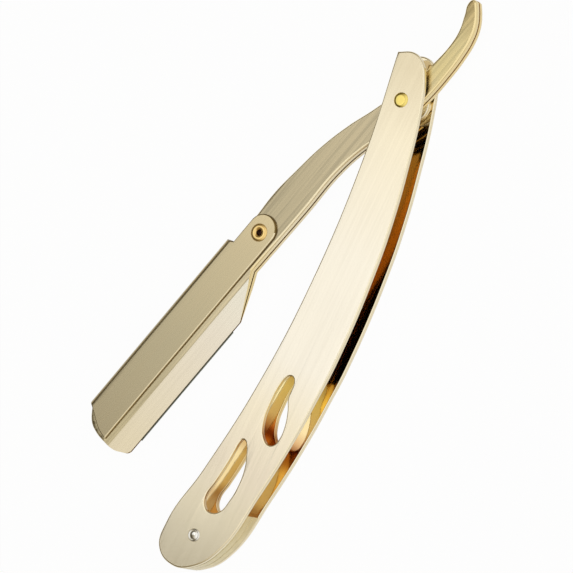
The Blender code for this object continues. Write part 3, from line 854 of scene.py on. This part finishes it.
# %% Make the spacers
SPACER_TONES = [(108, (226, 204, 150)), (120, (236, 222, 178))]
SPACER_THICKNESS = 2.605 * MM
SPACER_RIM = 0.26 * MM
SPACER_ARC_RADIUS = 118.01 * MM
HORN_LENGTH = 8.65 * MM
HORN_Y = 7.67 * MM
SWEEP_SEGMENTS = 768
FAR = 300 * MM
UPRIGHT_SHARE = 0.5
spacer_wall = plated("spacer_wall", SPACER_TONES, depth=0.85, roughness=(0.16, 0.26), lines=0.8)


def move_new(bm, grown, vec):
    """Move the vertices that an extrusion has made."""
    fresh = [item for item in grown["geom"] if isinstance(item, bmesh.types.BMVert)]
    bmesh.ops.translate(bm, verts=fresh, vec=vec)


def toe_sweep():
    """What the toe sweeps about the pivot, as an upright solid."""
    bm = bmesh.new()
    bmesh.ops.create_circle(bm, cap_ends=True, radius=SPACER_ARC_RADIUS, segments=SWEEP_SEGMENTS)
    move_new(bm, bmesh.ops.extrude_face_region(bm, geom=bm.faces[:]), (0, 0, BORE_REACH))
    bmesh.ops.recalc_face_normals(bm, faces=bm.faces)
    return bm


def on_outer_wall(face):
    """Whether a spacer's face shows at the handle's outside."""
    middle = face.calc_center_median()
    return middle.x > SPACER_ARC_RADIUS or (
        face.normal.y > UPRIGHT_SHARE and middle.y > HORN_Y + SPACER_RIM
    )


def end_spacer(low_z):
    """One spacer: the scales' round end behind the arc, with the horn along its top."""
    horn_x = SPACER_ARC_RADIUS - HORN_LENGTH
    kept_by_horn = block((horn_x, HORN_Y, -BORE_REACH), (FAR, FAR, 2 * BORE_REACH))
    swept = carve(toe_sweep(), [kept_by_horn])
    bm = plate(scale_outlines[:1], SPACER_THICKNESS, SPACER_RIM)
    bmesh.ops.translate(bm, verts=bm.verts, vec=(0, 0, low_z + SPACER_THICKNESS / 2))
    bm = carve(bm, [swept, bore(END_BORE_RADIUS, END_RIVET_X)])
    bm.normal_update()
    for face in bm.faces:
        face.material_index = 1 if on_outer_wall(face) else 0
    return bm


# The spacers' insides take the scales' inner metal, with its painted reflections.
spacer_finishes = [scale_inside_painted_reflections, spacer_wall]
rear_bm = end_spacer(REAR_INNER_Z + SEAT_GAP)
front_bm = end_spacer(REAR_INNER_Z + 2 * SEAT_GAP + SPACER_THICKNESS)
finish_piece(rear_bm, "rear_spacer_block", "rear_end_spacer", "handle", spacer_finishes)
finish_piece(front_bm, "front_spacer_block", "front_end_spacer", "handle", spacer_finishes)

# %% [markdown]
# ## Turned pieces
#
# The pivot pin, the end rivet, the washers, the hollow rivet and the blade's pegs are all round about an
# axis. Half of the section is a chain of points, and spinning it once round makes the solid. Where a piece
# has a dome or a broken corner, its section has a few more points there. A bevel on the finished solid
# could break the corners too, but it can't make a dome, a groove or a rolled lip.

# %% Spin sections
TURN_STEPS = 96


def chain(bm, places, closed=False):
    """A chain of edges through some places: its vertices and its edges."""
    points = [bm.verts.new(place) for place in places]
    edges = [bm.edges.new(pair) for pair in zip(points, points[1:])]
    if closed:
        edges.append(bm.edges.new((points[-1], points[0])))
    return points, edges


def spun(section, closed=False):
    """A solid of revolution about Z from the radius and height of its section's points."""
    bm = bmesh.new()
    points, edges = chain(bm, [(radius, 0, height) for radius, height in section], closed)
    bmesh.ops.spin(
        bm,
        geom=points + edges,
        cent=(0, 0, 0),
        axis=(0, 0, 1),
        angle=math.tau,
        steps=TURN_STEPS,
        use_merge=True,
    )
    bmesh.ops.remove_doubles(bm, verts=bm.verts, dist=WELD_DISTANCE / 2)
    bmesh.ops.recalc_face_normals(bm, faces=bm.faces)
    return bm


def both_heads(head):
    """A section with the same head above and below the razor's middle, from its points above it."""
    front = [(radius, MIDDLE_Z + height) for radius, height in head]
    rear = [(radius, MIDDLE_Z - height) for radius, height in reversed(head)]
    return front + rear


print("turned pieces have", TURN_STEPS, "steps")

# %% Turn the pivot pin
PIVOT_SHAFT_RADIUS = 1.5 * MM
PIVOT_HEAD_RADIUS = 1.9 * MM
PIVOT_CROWN_RADIUS = 1.1 * MM
DOME_SHARES = (0.2, 0.4, 0.6, 0.8, 0.92, 1.0)
DOME_DROP_SHARE = 0.8
DOME_POWER = 2.2
brass = polished("yellow_brass", [(0, (250, 226, 130))], depth=0.9, roughness=(0.12, 0.2))

head_seat = FRONT_FACE_Z + SEAT_GAP - MIDDLE_Z
head_rise = HEAD_HEIGHT - SEAT_GAP
head_crown = head_seat + head_rise
pin_head = [(0, head_crown), (PIVOT_CROWN_RADIUS / 2, head_crown), (PIVOT_CROWN_RADIUS, head_crown)]
for share in DOME_SHARES:
    radius = PIVOT_CROWN_RADIUS + (PIVOT_HEAD_RADIUS - PIVOT_CROWN_RADIUS) * share
    pin_head.append((radius, head_seat + head_rise * (1 - DOME_DROP_SHARE * share**DOME_POWER)))
pin_head += [(PIVOT_HEAD_RADIUS, head_seat), (PIVOT_SHAFT_RADIUS, head_seat)]
finish_piece(spun(both_heads(pin_head)), "pivot_pin_turned", "pivot_pin", "handle", [brass])

# %% Turn the end rivet
# Radius in millimetres, and height as a share of the head's: a dome, a groove, a ring and the shaft
END_HEAD = [
    (0.0, 1.0),
    (0.3, 0.99),
    (0.6, 0.92),
    (0.9, 0.68),
    (1.08, 0.38),
    (1.2, 0.08),
    (1.25, 0.15),
    (1.32, 0.48),
    (1.43, 0.6),
    (1.56, 0.42),
    (1.65, 0.1),
    (1.65, 0.0),
    (1.1, 0.0),
]
silver = polished("silvery_rivet", [(0, (250, 248, 240))], depth=0.92, roughness=(0.1, 0.18))

end_head = [(radius * MM, head_seat + share * head_rise) for radius, share in END_HEAD]
end_place = Matrix.Translation((END_RIVET_X, 0, 0))
end_bm = spun(both_heads(end_head))
finish_piece(end_bm, "end_rivet_turned", "end_rivet", "handle", [silver], end_place)

# %% Turn the washers
WASHER_RADIUS = 4.6 * MM
WASHER_THICKNESS = 0.75 * MM
WASHER_CHAMFER = 0.1 * MM
SIDE_CLEARANCE = 0.05 * MM
washer_plate = plated(
    "washer_plate", [(0, (252, 248, 234))], depth=0.95, roughness=(0.3, 0.4), lines=POLISHED_LINES
)


def washer(low_z):
    """A washer with broken outer corners."""
    high_z = low_z + WASHER_THICKNESS
    section = [
        (PIVOT_BORE_RADIUS, high_z),
        (WASHER_RADIUS - WASHER_CHAMFER, high_z),
        (WASHER_RADIUS, high_z - WASHER_CHAMFER),
        (WASHER_RADIUS, low_z + WASHER_CHAMFER),
        (WASHER_RADIUS - WASHER_CHAMFER, low_z),
        (PIVOT_BORE_RADIUS, low_z),
    ]
    return spun(section, closed=True)


rear_bm = washer(REAR_INNER_Z + SIDE_CLEARANCE)
front_bm = washer(FRONT_INNER_Z - SIDE_CLEARANCE - WASHER_THICKNESS)
finish_piece(rear_bm, "rear_washer_turned", "rear_pivot_washer", "handle", [washer_plate])
finish_piece(front_bm, "front_washer_turned", "front_pivot_washer", "handle", [washer_plate])

# %% [markdown]
# ## The two leaves of the arm
#
# A leaf is tail, tang, shank and holder in one plate. Its flat face is strongly brushed, and its tone along
# the arm holds painted light. The bevel ground along the cutting side is brighter, and the rounded edges are
# polished, in a warmer tone on the tail and past the kink, a painted reflection. The slot between the leaves
# and the thin cutting edge are dull and dark, and the dark is painted shade. One metal with a mask for each
# surface could do it, but four are easier to keep true to the photograph, face by face.

# %% Plate the arm
# The arm's plating colour with painted light: brighter on the tail, darker at its tip and on the shank near
# 44 mm.
ARM_TONES_AND_PAINTED_LIGHT = [
    (-28, (234, 210, 154)),
    (-19, (248, 230, 174)),
    (-10, (250, 231, 172)),
    (-2, (220, 205, 170)),
    (10, (220, 205, 170)),
    (44, (209, 195, 161)),
    (60, (230, 215, 179)),
    (104, (225, 211, 172)),
]
BEVEL_TONES = [(58, (254, 250, 234)), (74, (253, 244, 226)), (108, (250, 238, 208))]
# The polished edges' colour with painted reflection: warmer on the tail and past the kink.
ARM_EDGE_TONES_AND_PAINTED_REFLECTION = [
    (-6, (250, 229, 174)),
    (6, (250, 236, 200)),
    (44, (250, 236, 200)),
    (58, (248, 226, 168)),
]
# Painted shade for the slot and the cutting edge: dark brown along the shank and holder, lighter on the
# tail.
SLOT_PAINTED_SHADE_TONES = [(-6, (206, 164, 100)), (6, (132, 104, 62)), (50, (154, 112, 48))]
arm_brushed = plated(
    "brushed_arm", ARM_TONES_AND_PAINTED_LIGHT, depth=0.66, roughness=(0.22, 0.34), turn=ARM_ANGLE, relief=0.05
)
arm_bevel = plated(
    "ground_bevel", BEVEL_TONES, depth=0.93, roughness=(0.18, 0.28), turn=ARM_ANGLE, lines=0.8
)
arm_edge = polished("polished_arm", ARM_EDGE_TONES_AND_PAINTED_REFLECTION)
dull_slot_painted_shade = plated(
    "dull_slot_painted_shade", SLOT_PAINTED_SHADE_TONES, depth=0.8, roughness=(0.45, 0.55), lines=POLISHED_LINES
)

# %% [markdown]
# The pair of leaves has one outline, one rounded back and outer faces that slope alike towards the
# cutting side. So both leaves start from the same thick plate. The next cell outlines it from the pin
# round the tail, along the cutting side to the toe, and back along the spine.

# %% Outline the leaves
TAIL_LENGTH = 30.2 * MM
TANG_WIDTH = 7.2 * MM
TAIL_SHARES = [
    (0.000, -0.479, False),
    (-0.199, -0.243, False),
    (-0.401, -0.132, False),
    (-0.606, -0.104, False),
    (-0.735, -0.201, False),
    (-0.854, -0.424, False),
    (-0.944, -0.604, False),
    (-0.996, -0.542, False),
    (-1.000, -0.389, True),
    (-0.937, -0.097, False),
    (-0.854, 0.181, False),
    (-0.742, 0.382, False),
    (-0.579, 0.507, False),
    (-0.368, 0.556, False),
    (-0.166, 0.542, False),
]
SHANK_FRONT_SHARES = [
    (0.071, 0.167, False),
    (0.143, 0.080, False),
    (0.237, -0.046, False),
    (0.361, -0.127, False),
    (0.543, -0.126, False),
    (0.834, -0.146, True),
]
SHANK_BACK_SHARES = [
    (0.814, -0.696, False),
    (0.686, -0.704, False),
    (0.577, -0.723, False),
    (0.454, -0.680, False),
    (0.331, -0.614, False),
    (0.206, -0.486, False),
    (0.107, -0.343, False),
]
TOE_SHARES = [
    (0.200, 0.000, True),
    (0.470, -0.035, False),
    (0.650, -0.100, False),
    (0.880, -0.210, False),
    (1.000, -0.459, False),
    (0.965, -0.648, False),
    (0.750, -0.813, False),
]

leaf_outline = outline(TAIL_SHARES, TAIL_LENGTH, TANG_WIDTH)
leaf_outline += outline(SHANK_FRONT_SHARES, SHANK_LENGTH, HOLDER_DEPTH)
leaf_outline += [(SHANK_LENGTH, EDGE_RISE, True)]
leaf_outline += outline(TOE_SHARES, TOE_BULGE, HOLDER_DEPTH, (TOE_CORNER, EDGE_RISE))
leaf_outline += [(TOE_CORNER, BACK_LINE, True)]
leaf_outline += outline(SHANK_BACK_SHARES, SHANK_LENGTH, HOLDER_DEPTH)
print("the leaves' outline has", len(leaf_outline), "points")

# %% [markdown]
# Three slopes are ground into a leaf's outer face, and each is a cut with a simple solid. A tilted block
# grinds the bevel down to the edge, a second, flatter one the narrow band above it, and a shallow cone
# slopes the rim away round the toe. Moving the plate's vertices would do for the blocks' straight
# slopes, but not for the cone's.

# %% Make the grinding solids
LEAF_THICKNESS = 1.65 * MM
LEAF_EDGE_THICKNESS = 0.12 * MM
GRIND_WIDTH = 5.35 * MM
WEDGE_REACH = 1.5 * GRIND_WIDTH
BAND_WIDTH = 2.2 * MM
BAND_DROP = 0.20 * MM
TOE_CENTRE = (108.4 * MM, -4.7 * MM)
TOE_GRIND_RADIUS = 8.15 * MM
TOE_GRIND_SLOPE = math.radians(2.5)
TOE_GRIND_START = TOE_CORNER - HOLDER_DEPTH / 4
TOE_SEGMENTS = 192
grind_start = SHANK_FRONT_SHARES[-1][0] * SHANK_LENGTH


def on_side(bm, side):
    """A solid for the front leaf as it is, or its mirror image below for the rear one."""
    if side < 0:
        bmesh.ops.scale(bm, verts=bm.verts, vec=(1, 1, -1))
        bmesh.ops.reverse_faces(bm, faces=bm.faces)
    return bm


def grinding_wedge(side, low_y, low_thickness, width, drop):
    """The wedge that grinding takes off a leaf's outer face, from its low edge up over a width."""
    bm = block((grind_start, -WEDGE_REACH, 0), (FAR, WEDGE_REACH, HOLDER_DEPTH))
    slope = Matrix.Rotation(-math.atan2(drop, width), 3, "X")
    bmesh.ops.rotate(bm, verts=bm.verts, matrix=slope)
    bmesh.ops.translate(bm, verts=bm.verts, vec=(0, low_y, BLADE_SLOT / 2 + low_thickness))
    return on_side(bm, side)


def toe_grinding(side):
    """What is ground off outside a shallow cone round the toe."""
    spread = LEAF_THICKNESS / math.tan(TOE_GRIND_SLOPE)
    kept = bmesh.new()
    bmesh.ops.create_cone(
        kept,
        cap_ends=True,
        segments=TOE_SEGMENTS,
        radius1=TOE_GRIND_RADIUS + 2 * spread,
        radius2=TOE_GRIND_RADIUS,
        depth=2 * LEAF_THICKNESS,
    )
    bmesh.ops.translate(kept, verts=kept.verts, vec=(*TOE_CENTRE, LEAF_STACK / 2 - LEAF_THICKNESS))
    around = block((TOE_GRIND_START, -HOLDER_DEPTH, 0), (FAR, HOLDER_DEPTH, HOLDER_DEPTH))
    return on_side(carve(around, [kept]), side)


print("grinding starts", round(grind_start / MM, 2), "mm from the pin")

# %% [markdown]
# The corners that the leaves turn to each other are eased, a little along the shank and the tail, where
# the seam shows as a dark line, and more along the holder's slot. Only the cutting side stays sharp. A
# Bevel modifier would need a weight on each of these edges first, so the operator is given just the
# edges themselves.

# %% Ease the corners of the slot
SLOT_EDGE_ROUND = 0.30 * MM
SEAM_EDGE_ROUND = 0.16 * MM
EASE_STEPS = 2
PEG_PLACES = [(78.2 * MM, -6.85 * MM), (105.2 * MM, -6.85 * MM)]
NEAR_BORE = 1.1 * PIVOT_BORE_RADIUS
SLOT_TOLERANCE = SEAT_GAP / 10
CORNER_ABOVE = math.radians(60)


def near_bore(middle):
    """Whether a place lies at one of the leaf's bores."""
    bores = [(0, 0), (EYELET_REACH, EYELET_LINE)] + PEG_PLACES
    return any(math.hypot(middle.x - x, middle.y - y) < NEAR_BORE for x, y in bores)


def is_eased(edge, side, start, end):
    """Whether an edge is a corner towards the slot, between two places along the arm."""
    middle = (edge.verts[0].co + edge.verts[1].co) / 2
    cutting_side = middle.x > grind_start and middle.y > EDGE_RISE - SEAT_GAP
    return (
        all(abs(vert.co.z * side - BLADE_SLOT / 2) < SLOT_TOLERANCE for vert in edge.verts)
        and start < middle.x < end
        and edge.is_manifold
        and edge.calc_face_angle(0) > CORNER_ABOVE
        and not cutting_side
        and not near_bore(middle)
    )


def ease(bm, side, start, end, radius):
    """Round a leaf's corners towards the slot, between two places along the arm."""
    bmesh.ops.bevel(
        bm,
        geom=[edge for edge in bm.edges if is_eased(edge, side, start, end)],
        offset=radius,
        offset_type="OFFSET",
        segments=EASE_STEPS,
        profile=0.5,
        affect="EDGES",
        clamp_overlap=False,
        material=-1,
    )


print("corners are eased by", round(SEAM_EDGE_ROUND / MM, 2), "and", round(SLOT_EDGE_ROUND / MM, 2), "mm")

# %% [markdown]
# A block takes the other leaf and the slot away from the thick plate, the grinding solids slope the outer
# face, and the pin, the hollow rivet and the pegs get their bores. Then each face is given its finish by
# where it lies and which way it looks.

# %% Make the leaves
LEAF_RIM = 0.55 * MM
EYELET_BORE_RADIUS = 1.48 * MM
PEG_BORE_RADIUS = 1.36 * MM
SLOPED_SHARE = 0.9
BEVEL_SHARE = 0.2
EDGEWISE_SHARE = 0.05
FACE, BEVEL, EDGE, SLOT = range(4)


def leaf_finish(face, side):
    """Which of the leaf's four finishes a face has."""
    outward = face.normal.z * side
    middle = face.calc_center_median()
    ground = SLOPED_SHARE < outward < FLAT_SHARE and middle.x > grind_start - SEAT_GAP
    cutting_edge = middle.y > EDGE_RISE - SEAT_GAP and middle.x > SHANK_LENGTH
    toe_rim = middle.x > TOE_CORNER and outward > EDGEWISE_SHARE
    if ground and face.normal.y > BEVEL_SHARE:
        return BEVEL
    # Faces towards the slot and the thin cutting edge take the dull metal with its painted shade.
    if outward < -EDGEWISE_SHARE or cutting_edge:
        return SLOT
    if outward > FLAT_SHARE or ground or toe_rim:
        return FACE
    return EDGE


def leaf(side):
    """One leaf in the arm's frame, on the side of the slot that its sign gives."""
    bm = plate([leaf_outline], LEAF_STACK, LEAF_RIM)
    low, high = sorted((-side * LEAF_STACK, side * BLADE_SLOT / 2))
    other = block((-FAR, -FAR, low), (FAR, FAR, high))
    crease = LEAF_THICKNESS - BAND_DROP
    bevel = grinding_wedge(side, EDGE_RISE, LEAF_EDGE_THICKNESS, GRIND_WIDTH, crease - LEAF_EDGE_THICKNESS)
    band = grinding_wedge(side, EDGE_RISE - GRIND_WIDTH, crease, BAND_WIDTH, BAND_DROP)
    bores = [bore(PIVOT_BORE_RADIUS), bore(EYELET_BORE_RADIUS, EYELET_REACH, EYELET_LINE)]
    bores += [bore(PEG_BORE_RADIUS, x, y) for x, y in PEG_PLACES]
    bm = carve(bm, [other, bevel, band, toe_grinding(side)] + bores)
    ease(bm, side, -FAR, grind_start - SEAT_GAP, SEAM_EDGE_ROUND)
    ease(bm, side, grind_start - SEAT_GAP, FAR, SLOT_EDGE_ROUND)
    bm.normal_update()
    for face in bm.faces:
        face.material_index = leaf_finish(face, side)
    return bm


leaf_finishes = [arm_brushed, arm_bevel, arm_edge, dull_slot_painted_shade]
finish_piece(leaf(1), "front_leaf_ground", "front_leaf", "arm", leaf_finishes, ARM_PLACE)
finish_piece(leaf(-1), "rear_leaf_ground", "rear_leaf", "arm", leaf_finishes, ARM_PLACE)

# %% [markdown]
# ## The blade and its pegs
#
# The blade is half of a standard double-edge blade, nearly hidden in its slot. It could be modelled anew,
# but the CAD model's solid already has its form, so that stays and only gets a steel: bright on its body,
# and dark along its ground edge, where the dark is painted shade. The edge runs along the arm, so these
# tones are read across it, in the turned frame. The pegs that the blade's notches sit on are spun like the
# rivets.

# %% Finish the blade
# Bright steel on the body, and painted shade, dark along the edge.
BLADE_TONES_AND_PAINTED_SHADE = [(2.9, (186, 188, 186)), (3.4, (104, 106, 92))]
blade_steel = plated(
    "blade_steel", BLADE_TONES_AND_PAINTED_SHADE, depth=0.86, roughness=(0.12, 0.2), turn=ARM_ANGLE, lines=0.5, axis="Y"
)
blade = nodes["razor_blade"]
blade.data.materials.clear()
blade.data.materials.append(blade_steel)

# %% Turn the blade's pegs
PEG_RADIUS = 1.3 * MM
PEG_CHAMFER = 0.2 * MM
peg_half = LEAF_STACK / 2 - SEAT_GAP
peg_section = [
    (0, peg_half),
    (PEG_RADIUS - PEG_CHAMFER, peg_half),
    (PEG_RADIUS, peg_half - PEG_CHAMFER),
    (PEG_RADIUS, PEG_CHAMFER - peg_half),
    (PEG_RADIUS - PEG_CHAMFER, -peg_half),
    (0, -peg_half),
]
for end, (x, y) in zip(("heel", "toe"), PEG_PLACES):
    place = ARM_PLACE @ Matrix.Translation((x, y, 0))
    finish_piece(spun(peg_section), end + "_peg_turned", end + "_blade_peg", "arm", [brass], place)

# %% [markdown]
# ## The lock
#
# The lock is one sheet, folded round the leaves' back, with a round lug for the hollow rivet, a step where
# the spine begins, and a toe that follows the leaves'. A hollowed block could stand for it, but its wall
# would not stay even round the bend. So a section of two cheeks and a round bend is drawn as a chain of
# edges, extruded along the arm, given the sheet's thickness, and trimmed with a Boolean against a plate of
# its outline. The trimming plate has rounded rims, which break the sheared edges and catch the bright line
# along the lip; the lip's paler polish adds a painted highlight to that line, and the other edges are
# painted dark as shade. It is a hair thinner than the lock, because a Boolean between two faces in one plane
# can fail.

# %% Plate the lock
# The lock's plating colour with painted light, darker towards the toe.
LOCK_TONES_AND_PAINTED_LIGHT = [
    (42, (230, 212, 170)),
    (50, (220, 204, 166)),
    (80, (204, 191, 157)),
    (110, (202, 188, 154)),
]
lock_brushed = plated("brushed_lock", LOCK_TONES_AND_PAINTED_LIGHT, depth=0.86, roughness=(0.24, 0.32), turn=ARM_ANGLE)
# The rounded faces towards the lip's side are polished and paler, a painted highlight.
lock_lip_polish_and_painted_highlight = polished("lock_lip_polish_and_painted_highlight", [(0, (244, 230, 194))], roughness=(0.1, 0.18))
# The lock's edges that don't face the lip's side are dark brown, a painted shade.
lock_painted_shade = plated(
    "lock_edge_painted_shade", [(0, (140, 118, 72))], depth=0.7, roughness=(0.25, 0.35), lines=0.4
)

# %% Outline the lock
LOCK_SHEET = 0.7 * MM
LOCK_BACK_CLEARANCE = 0.35 * MM
LOCK_TOE_SETBACK = 1.0 * MM
LUG_TAIL = 1.0 * MM
LUG_STEPS = 32
SPINE_START = 7.5 * MM
SPINE_STEP = 1.1 * MM
OVERRUN = 2.0 * MM
LOCK_TOE_SHARES = [
    (0.90, -1.00, False),
    (0.61, -0.71, False),
    (0.31, -0.48, False),
    (0.10, -0.27, False),
]
spine_line = BACK_LINE - LOCK_BACK_CLEARANCE - LOCK_SHEET - EYELET_LINE
lip_end = TOE_CORNER + TOE_BULGE - LOCK_TOE_SETBACK - EYELET_REACH


def arc(centre, radius, start, end, steps):
    """Points along an arc, from one angle in degrees to another."""
    angles = [math.radians(start + (end - start) * step / steps) for step in range(steps + 1)]
    return [(centre[0] + radius * math.cos(a), centre[1] + radius * math.sin(a)) for a in angles]


lug = arc((-LUG_TAIL, 0), LUG_RADIUS, 90, 270, LUG_STEPS)
toe = outline(LOCK_TOE_SHARES, -TOE_BULGE, LUG_RADIUS - spine_line, (lip_end, LUG_RADIUS))
lock_outline = [(x, y, True) for x, y in lug]
lock_outline += [
    (SPINE_START - SPINE_STEP, -LUG_RADIUS, True),
    (SPINE_START, spine_line + LOCK_SHEET, True),
    (SPINE_START, spine_line - OVERRUN, True),
    (toe[0][0], spine_line - OVERRUN, True),
]
lock_outline += toe + [(lip_end, LUG_RADIUS, True)]
print("the lock reaches", round(lip_end / MM, 2), "mm past its rivet")

# %% Fold the sheet
LOCK_WIDTH = LEAF_STACK + 2 * SIDE_CLEARANCE + 2 * LOCK_SHEET
FOLD_RADIUS = 1.85 * MM
FOLD_STEPS = 10


def folded_sheet():
    """The inner side of the sheet round the leaves' back, as an open surface."""
    half_width = LOCK_WIDTH / 2 - LOCK_SHEET
    bend = FOLD_RADIUS - LOCK_SHEET
    floor = spine_line + LOCK_SHEET
    lip = LUG_RADIUS + OVERRUN
    rear = arc((floor + bend, bend - half_width), bend, -90, -180, FOLD_STEPS)
    front = arc((floor + bend, half_width - bend), bend, 180, 90, FOLD_STEPS)
    section = [(lip, -half_width)] + rear + front + [(lip, half_width)]
    start = -LUG_TAIL - LUG_RADIUS - OVERRUN
    bm = bmesh.new()
    points, edges = chain(bm, [(start, y, z) for y, z in section])
    move_new(bm, bmesh.ops.extrude_edge_only(bm, edges=edges), (lip_end + 2 * OVERRUN - start, 0, 0))
    bmesh.ops.recalc_face_normals(bm, faces=bm.faces)
    return bm


def thickened(bm, thickness, offset):
    """A sheet given its thickness, evenly round its bends."""
    sheet = passing_object(bm)
    wall = sheet.modifiers.new("wall", "SOLIDIFY")
    wall.thickness = thickness
    wall.offset = offset
    wall.use_even_offset = True
    thick = read_back(sheet)
    bmesh.ops.recalc_face_normals(thick, faces=thick.faces)
    return thick


print("the fold is", round(LOCK_WIDTH / MM, 2), "mm wide outside")

# %% Trim and finish the lock
LOCK_EDGE_ROUND = 0.28 * MM
TRIM_SKIM = 0.004 * MM
SQUARE_SHARE = 0.001
ROUNDED_SHARE = 0.02
LIP_STEEPNESS = 1.8
SHEET, LIP, PAINTED_SHADE_EDGE = range(3)


def swing_lock():
    """The folded and trimmed lock in its own frame."""
    sheet = folded_sheet()
    sheet.normal_update()
    bend_floor = min(sheet.faces, key=lambda face: abs(face.calc_center_median().z))
    outward = 1 if bend_floor.normal.y < 0 else -1
    bm = thickened(sheet, LOCK_SHEET, outward)
    trim = plate([lock_outline], LOCK_WIDTH - TRIM_SKIM, LOCK_EDGE_ROUND)
    bm = carve(bm, [trim], "INTERSECT")
    assert bm.faces, "the trimming left nothing of the lock"
    return carve(bm, [bore(EYELET_BORE_RADIUS)])


def lock_finish(face):
    """Which of the lock's three materials a face has: its sheet, its lip's polish with a painted highlight,
    or painted shade on its other edges.
    """
    along_bend = abs(face.normal.x) < SQUARE_SHARE and face.normal.y < SQUARE_SHARE
    if abs(face.normal.z) > FLAT_SHARE or along_bend:
        return SHEET
    if abs(face.normal.z) > ROUNDED_SHARE and face.normal.y > LIP_STEEPNESS * abs(face.normal.x):
        return LIP
    return PAINTED_SHADE_EDGE


lock_bm = swing_lock()
lock_bm.normal_update()
for face in lock_bm.faces:
    face.material_index = lock_finish(face)
lock_finishes = [lock_brushed, lock_lip_polish_and_painted_highlight, lock_painted_shade]
finish_piece(lock_bm, "swing_lock_folded", "swing_lock", "lock", lock_finishes, LOCK_PLACE)

# %% [markdown]
# ## The hollow rivet
#
# The lock turns on a short tube, whose two ends are rolled outwards over its lugs. What shows is a ring
# with a soft rolled lip round a dark hole. A torus on a cylinder would come near it, but a spun section
# gives the lip its own curve, and it is closed before it is spun, so the hole goes right through.

# %% Roll the hollow rivet
EYELET_BORE = 0.82 * MM
EYELET_BARREL = 1.4 * MM
EYELET_FLANGE = 2.3 * MM
FLANGE_THICKNESS = 0.36 * MM
# Radius in millimetres, and height as a share of the flange's: up out of the bore, over and down
ROLLED_LIP = [
    (0.93, 0.45),
    (1.05, 0.75),
    (1.23, 0.94),
    (1.45, 1.0),
    (1.75, 0.94),
    (2.05, 0.72),
    (2.22, 0.42),
    (2.3, 0.15),
]
rivet_gold = polished("rivet_gold", [(0, (242, 208, 138))], depth=0.9, roughness=(0.12, 0.2))
dark_bore = polished("dark_bore", [(0, (120, 70, 30))], depth=0.7, roughness=(0.4, 0.5))

flange_seat = LOCK_WIDTH / 2 + SEAT_GAP
rolled = [(EYELET_BORE, flange_seat)]
rolled += [(radius * MM, flange_seat + share * FLANGE_THICKNESS) for radius, share in ROLLED_LIP]
rolled += [(EYELET_FLANGE, flange_seat), (EYELET_BARREL, flange_seat)]
rivet_bm = spun(rolled + [(radius, -height) for radius, height in reversed(rolled)], closed=True)
for face in rivet_bm.faces:
    face.material_index = 1 if face.calc_center_median().xy.length < EYELET_BORE + SEAT_GAP else 0
rivet_finishes = [rivet_gold, dark_bore]
finish_piece(rivet_bm, "hollow_rivet_rolled", "lock_eyelet", "arm", rivet_finishes, LOCK_PLACE)

# %% Print the sizes of the CAD model and of the scene
bpy.context.view_layer.update()
visual_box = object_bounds()
sizes = {
    "cad_box": [list(corner) for corner in cad_box],
    "visual_box": [list(corner) for corner in visual_box],
}
for label, (low, high) in sizes.items():
    print(label, [round((b - a) / MM, 3) for a, b in zip(low, high)])
